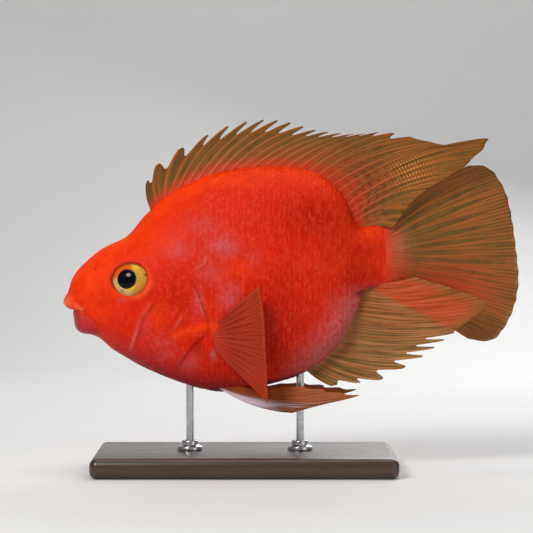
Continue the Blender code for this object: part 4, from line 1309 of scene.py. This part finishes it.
def fin_material(name, group, *tints, alpha):
    """A thin wet membrane over firmer rays."""
    made, nodes = new_material(name, Specular_IOR_Level=0.2, Coat_Weight=0.03, Coat_Roughness=0.25)
    inputs = {part: (*tint, 1.0) for part, tint in zip(FIN_PARTS, tints)}
    colours = nodes.add("ShaderNodeGroup", inputs, node_tree=group).outputs
    dress(nodes, colours["Height"], 0.35, 0.1, Base_Color=colours["Color"],
          Alpha=nodes.ranged(colours["Solid"], 0.0, 1.0, alpha, 0.98),
          Roughness=nodes.ranged(colours["Solid"], 0.0, 1.0, 0.46, 0.38))
    return made


def make_eye(label, axes, look):
    """A flattened eyeball with a lens that bulges a little through the pupil."""
    middle, outward, forward, upward = axes
    radii = np.concatenate((
        np.linspace(0.0, PUPIL_RADIUS - 0.1, 9), np.linspace(PUPIL_RADIUS, PUPIL_RADIUS + 0.5, 5),
        np.linspace(PUPIL_RADIUS + 0.7, EYE_HALF_HEIGHT, 16),
    ))
    spokes = np.arange(EYE_SPOKES) * 2 * np.pi / EYE_SPOKES
    points, flat = [], []
    for radius in radii:
        outer = smooth(PUPIL_RADIUS, EYE_HALF_HEIGHT, radius)
        stretch = 1.0 + (EYE_HALF_WIDTH / EYE_HALF_HEIGHT - 1.0) * outer
        ahead = PUPIL_FORWARD * (1.0 - outer) + radius * stretch * np.cos(spokes)
        up = radius * np.sin(spokes)
        reach = np.clip(np.hypot(ahead / EYE_HALF_WIDTH, up / EYE_HALF_HEIGHT), 0.0, 1.0)
        lens = PUPIL_BULGE * math.sqrt(max(1.0 - (radius / PUPIL_RADIUS) ** 2, 0.0))
        rings = 0.1 * hill(radius - 4.4, 0.35) - 0.2 * hill(radius - PUPIL_RADIUS - 0.1, 0.18)
        height = EYE_DEPTH * (1.0 - reach**2) ** EYE_FULLNESS - 0.3 + lens + rings
        points.append(middle + np.outer(ahead, forward) + np.outer(up, upward) + np.outer(height, outward))
        flat.append(np.column_stack((ahead, up)))
    points.append(middle + (points[-1] - outward * 2.5 - middle) * 0.8)
    flat.append(flat[-1])
    faces = tube_faces(len(points), EYE_SPOKES)
    back = (len(points) - 1) * EYE_SPOKES
    faces.append(list(range(back, back + EYE_SPOKES)))
    eye = mesh_object("eyeball_" + label, np.reshape(points, (-1, 3)), faces)
    ahead, up = np.reshape(flat, (-1, 2)).T
    radius = np.hypot(ahead - PUPIL_FORWARD, up)
    rim = np.hypot(ahead / SOCKET_HALF_WIDTH, up / SOCKET_HALF_HEIGHT)
    write_values(
        eye,
        pupil=smooth(PUPIL_RADIUS + 0.12, PUPIL_RADIUS - 0.12, radius),
        orange=smooth(1.0, 3.2, up + 0.3 * ahead) * smooth(-3.2, -0.6, ahead),
        cream=smooth(1.0, 4.0, ahead - 0.7 * up),
        bright=np.maximum(
            hill(up + 3.8 + 0.345 * (ahead + 0.55), 0.5) * hill(ahead + 0.55, 1.7),
            0.9 * hill(np.hypot(ahead + 2.4, up - 4.9), 1.3)),
        amber=smooth(4.6, 7.5, -ahead - 0.8 * up),
        speck=np.maximum(
            hill(np.hypot(ahead + 6.4, up - 1.6), 0.55),
            0.6 * hill(np.hypot(ahead - 2.9, up + 4.6), 0.6)),
        # The iris's own dark edge, darker at the upper front as painted shade of the socket's rim
        dusk=smooth(0.86, 0.97, rim) * (0.35 + 0.65 * smooth(-3.0, 3.0, ahead + up)),
    )
    write_map(eye, "chart", np.column_stack((ahead, up)) / CHART_SIZE)
    tidy_mesh(eye, FINE_WELD)
    eye.data.materials.append(look)
    return eye


def eye_material():
    """A gold iris with fine spokes and flecks round a black pupil, under a clear gloss."""
    made, nodes = new_material(
        "gold_eye", Specular_IOR_Level=0.1, Coat_Weight=0.18, Coat_Roughness=0.05, Coat_IOR=1.3)
    chart, ahead, up = nodes.chart()
    ahead = nodes.math("SUBTRACT", ahead, PUPIL_FORWARD / CHART_SIZE)
    radius = nodes.math("SQRT", nodes.math("ADD", nodes.times(ahead, ahead), nodes.times(up, up)))
    polar = nodes.add("ShaderNodeCombineXYZ", {
        0: nodes.times(nodes.math("ARCTAN2", up, ahead), 9.0), 1: nodes.times(radius, 12.0)})
    spokes = nodes.noise(polar.outputs[0], 1.0, 4.0, 0.6)
    flecks = nodes.ranged(nodes.noise(chart, 26.0), 0.54, 0.66)
    patches = nodes.ranged(nodes.noise(chart, 9.0), 0.4, 0.6)
    glints = nodes.ranged(nodes.noise(chart, 60.0, 2.0), 0.6, 0.75)
    pupil = nodes.stored("pupil")
    colour = nodes.layered(
        nodes.mix(nodes.ranged(spokes, 0.35, 0.7), (0.50, 0.22, 0.02), (0.84, 0.50, 0.07)),
        (nodes.times(patches, 0.4), (0.50, 0.42, 0.03)),
        (nodes.times(nodes.stored("cream"), 0.7), (0.66, 0.46, 0.20)),
        (nodes.times(nodes.stored("orange"), 0.95), (0.70, 0.09, 0.004)),
        (nodes.times(nodes.stored("amber"), 0.8), (0.66, 0.20, 0.03)),
        (nodes.times(nodes.stored("bright"), 0.9), (0.96, 0.62, 0.02)),
        (nodes.times(flecks, 0.65), (0.16, 0.06, 0.012)),
        (nodes.stored("speck"), (0.06, 0.02, 0.02)),
        # Dark iris edge, partly painted shade of the socket's rim
        (nodes.times(nodes.stored("dusk"), 0.85), (0.22, 0.05, 0.012)),
        (pupil, nodes.mix(nodes.times(glints, 0.25), (0.002, 0.002, 0.004), (0.06, 0.06, 0.12))))
    dress(nodes, nodes.times(spokes, nodes.math("SUBTRACT", 1.0, pupil)), 0.3, 0.15,
          Base_Color=colour, Roughness=nodes.ranged(pupil, 0.0, 1.0, 0.3, 0.08))
    return made


def wood_material():
    """Dark stained wood with a satin lacquer."""
    made, nodes = new_material("stained_wood", Specular_IOR_Level=0.5, Coat_Weight=0.35, Coat_Roughness=0.18)
    where = nodes.place()
    drift = nodes.noise(where, (8.0, 60.0, 60.0))
    lines = nodes.add("ShaderNodeTexWave", {
        "Vector": nodes.stretched(where, (3.0, 60.0, 60.0)), "Scale": 2.6, "Distortion": 5.0,
        "Detail": 3.0, "Detail Scale": 1.4}, wave_type="BANDS", bands_direction="Y")
    pores = nodes.noise(where, (120.0, 1700.0, 1700.0), 2.0)
    colour = nodes.layered(
        nodes.mix(nodes.ranged(drift, 0.3, 0.7), (0.024, 0.012, 0.007), (0.055, 0.027, 0.014)),
        (nodes.times(lines.outputs["Fac"], 0.5), (0.085, 0.043, 0.022)),
        (nodes.times(nodes.ranged(pores, 0.58, 0.7), 0.7), (0.008, 0.004, 0.003)))
    dress(nodes, nodes.times(pores, -1.0), 0.25, 0.1,
          Base_Color=colour, Roughness=nodes.ranged(pores, 0.4, 0.7, 0.32, 0.5))
    return made


def steel_material():
    """Brushed steel, brushed round the rod."""
    made, nodes = new_material("brushed_steel", Metallic=1.0)
    where = nodes.place()
    brushing = nodes.noise(where, (250.0, 250.0, 9000.0), 2.0)
    colour = nodes.mix(nodes.ranged(brushing, 0.3, 0.7), (0.50, 0.50, 0.52), (0.66, 0.66, 0.67))
    dress(nodes, brushing, 0.12, 0.03, Base_Color=colour,
          Roughness=nodes.ranged(nodes.noise(where, 300.0), 0.3, 0.7, 0.2, 0.36))
    return made


def turned(name, profile, x, look, steps=64):
    """A turned piece from a profile of radii and heights, standing at x."""
    angles = np.arange(steps) * 2 * np.pi / steps
    points = [(x + radius * math.cos(angle), radius * math.sin(angle), height)
              for radius, height in profile for angle in angles]
    made = mesh_object(name, points, tube_faces(len(profile), steps, closed=True))
    tidy_mesh(made, FINE_WELD)
    made.data.set_sharp_from_angle(angle=SHARP_ANGLE)
    made.data.materials.append(look)
    return made


def rounded(start, end, steps=6):
    """Points of a quarter round between two corners of a profile, bulging up and out."""
    (r0, z0), (r1, z1) = start, end
    angles = np.linspace(0.0, 0.5 * np.pi, steps)
    return [(r0 + (r1 - r0) * math.sin(a), z1 + (z0 - z1) * math.cos(a)) for a in angles]


def make_stand():
    """The wooden base, two rods and their turned collars."""
    low, high = (np.array(corner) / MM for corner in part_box("stand_base"))
    bpy.ops.mesh.primitive_cube_add(size=1.0)
    base = bpy.context.object
    base.name = base.data.name = "base_board"
    for vert in base.data.vertices:
        share = np.array(vert.co) + 0.5
        vert.co = (low + (high - low) * share) * MM
    corners = base.modifiers.new("corners", "BEVEL")
    corners.width = BASE_CORNER * MM
    corners.segments = 7
    corners.limit_method = "NONE"
    applied(base)
    base.data.shade_smooth()
    base.data.set_sharp_from_angle(angle=SHARP_ANGLE)
    base.data.materials.append(wood_material())
    finish_piece(base, "stained_wood", "stand_base")
    steel = steel_material()
    foot = high[2] + COLLAR_GAP
    top = foot + COLLAR_HEIGHT
    inner = ROD_RADIUS + 0.1
    neck = 0.5 * (inner + COLLAR_RADIUS)
    collar_profile = [
        (inner, foot), (inner, top), *rounded((neck - 0.5, top), (neck, top - 0.5)),
        (neck + 0.1, foot + 1.9), (COLLAR_RADIUS - 0.8, foot + 1.4),
        *rounded((COLLAR_RADIUS - 0.6, foot + 1.35), (COLLAR_RADIUS, foot + 0.75)), (COLLAR_RADIUS, foot),
    ]
    for where, x in ROD_XS.items():
        bottom, tip = (corner[2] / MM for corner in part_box("stand_rod_" + where))
        rod_profile = [(0.0, bottom), (ROD_RADIUS, bottom), (ROD_RADIUS, tip), (0.0, tip)]
        finish_piece(turned("rod_" + where, rod_profile, x, steel), "steel", "stand_rod_" + where)
        finish_piece(turned("collar_" + where, collar_profile, x, steel), "steel", "stand_collar_" + where)


def finish_piece(piece, slot, *nodes):
    """Set the piece on the body, in place of its nodes. The slot is not used."""
    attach(piece, BODY)
    if nodes:
        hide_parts(*nodes)


def make_sweep():
    """A pale floor that curves up into the backdrop."""
    wall = SWEEP_DEPTH - SWEEP_BEND
    profile = [(SWEEP_FRONT, 0.0), (wall, 0.0)]
    profile += [(wall + SWEEP_BEND * math.sin(a), SWEEP_BEND - SWEEP_BEND * math.cos(a))
                for a in np.linspace(0.0, 0.5 * np.pi, 25)[1:]]
    profile += [(SWEEP_DEPTH, SWEEP_HEIGHT)]
    points = [(x, y, z) for y, z in profile for x in (-SWEEP_WIDTH / 2, SWEEP_WIDTH / 2)]
    faces = [(2 * i, 2 * i + 1, 2 * i + 3, 2 * i + 2) for i in range(len(profile) - 1)]
    sweep = mesh_object("studio_sweep", points, faces)
    sweep.data.shade_smooth()
    paper, nodes = new_material("pale_paper", Roughness=0.9, Specular_IOR_Level=0.1)
    tone = nodes.mix(nodes.noise(nodes.place(), 14.0), (0.80, 0.80, 0.79), (0.83, 0.83, 0.82))
    nodes.fill(nodes.tree.nodes["Principled BSDF"].inputs["Base Color"], tone)
    sweep.data.materials.append(paper)


def aimed(obj, place):
    """Put a lamp or camera at a place, turned to the fish."""
    target = Vector(CAMERA_TARGET) * MM
    obj.location = place
    obj.rotation_euler = (target - obj.location).to_track_quat("-Z", "Y").to_euler()


def studio():
    """The backdrop, soft lights and the camera."""
    make_sweep()
    for name, (place, size, power, tint) in LIGHTS.items():
        data = bpy.data.lights.new(name, "AREA")
        data.shape = "DISK"
        data.size = size * MM
        data.energy = power
        data.color = tint
        aimed(placed(name, data), Vector(place) * MM)
    world = bpy.data.worlds.new("studio_air")
    world.use_nodes = True
    air = world.node_tree.nodes["Background"].inputs
    air["Color"].default_value = (0.93, 0.95, 1.0, 1.0)
    air["Strength"].default_value = 0.16
    bpy.context.scene.world = world
    data = bpy.data.cameras.new("camera")
    data.lens = CAMERA_LENS
    data.sensor_width = 36.0
    data.clip_start = 0.01
    distance = PICTURE_WIDTH * MM / data.sensor_width * data.lens
    tilt = math.radians(CAMERA_ELEVATION)
    camera = placed("camera", data)
    aimed(camera, Vector(CAMERA_TARGET) * MM + Vector((0.0, -math.cos(tilt), math.sin(tilt))) * distance)
    bpy.context.scene.camera = camera
    bpy.context.scene.view_settings.view_transform = "Standard"


fish_group = fish_colour_group()
skin, plain_tree, eye_places = make_skin(fish_group)
finish_piece(
    skin, "red_skin", "head", "lower_jaw", "gill_cover_left", "gill_cover_right", "torso", "tail_base")

one_scale = scale_plate()
scale_nodes = scale_tree()
scale_look = scale_material(fish_group)
for label, side in SIDES.items():
    scales = make_scales(label, side, plain_tree, one_scale, scale_nodes, scale_look, eye_places)
    finish_piece(scales, "red_skin")
bpy.data.objects.remove(one_scale, do_unlink=True)

fin_group = fin_colour_group()
fin_looks = {name: fin_material(name, fin_group, *tints, alpha=alpha)
             for name, (*tints, alpha) in FIN_TINTS.items()}
for node, fin in make_fins(plain_tree).items():
    look = {"pelvic": "pale_fin", "pectoral": "body_fin"}.get(node.split("_")[0], "amber_fin")
    fin.data.materials.append(fin_looks[look])
    finish_piece(fin, "pale_fin" if look == "pale_fin" else "amber_fin", node)

eye_look = eye_material()
for label, axes in zip(SIDES, eye_places):
    finish_piece(make_eye(label, axes, eye_look), "gold_eye", "eye_" + label)

make_stand()
studio()
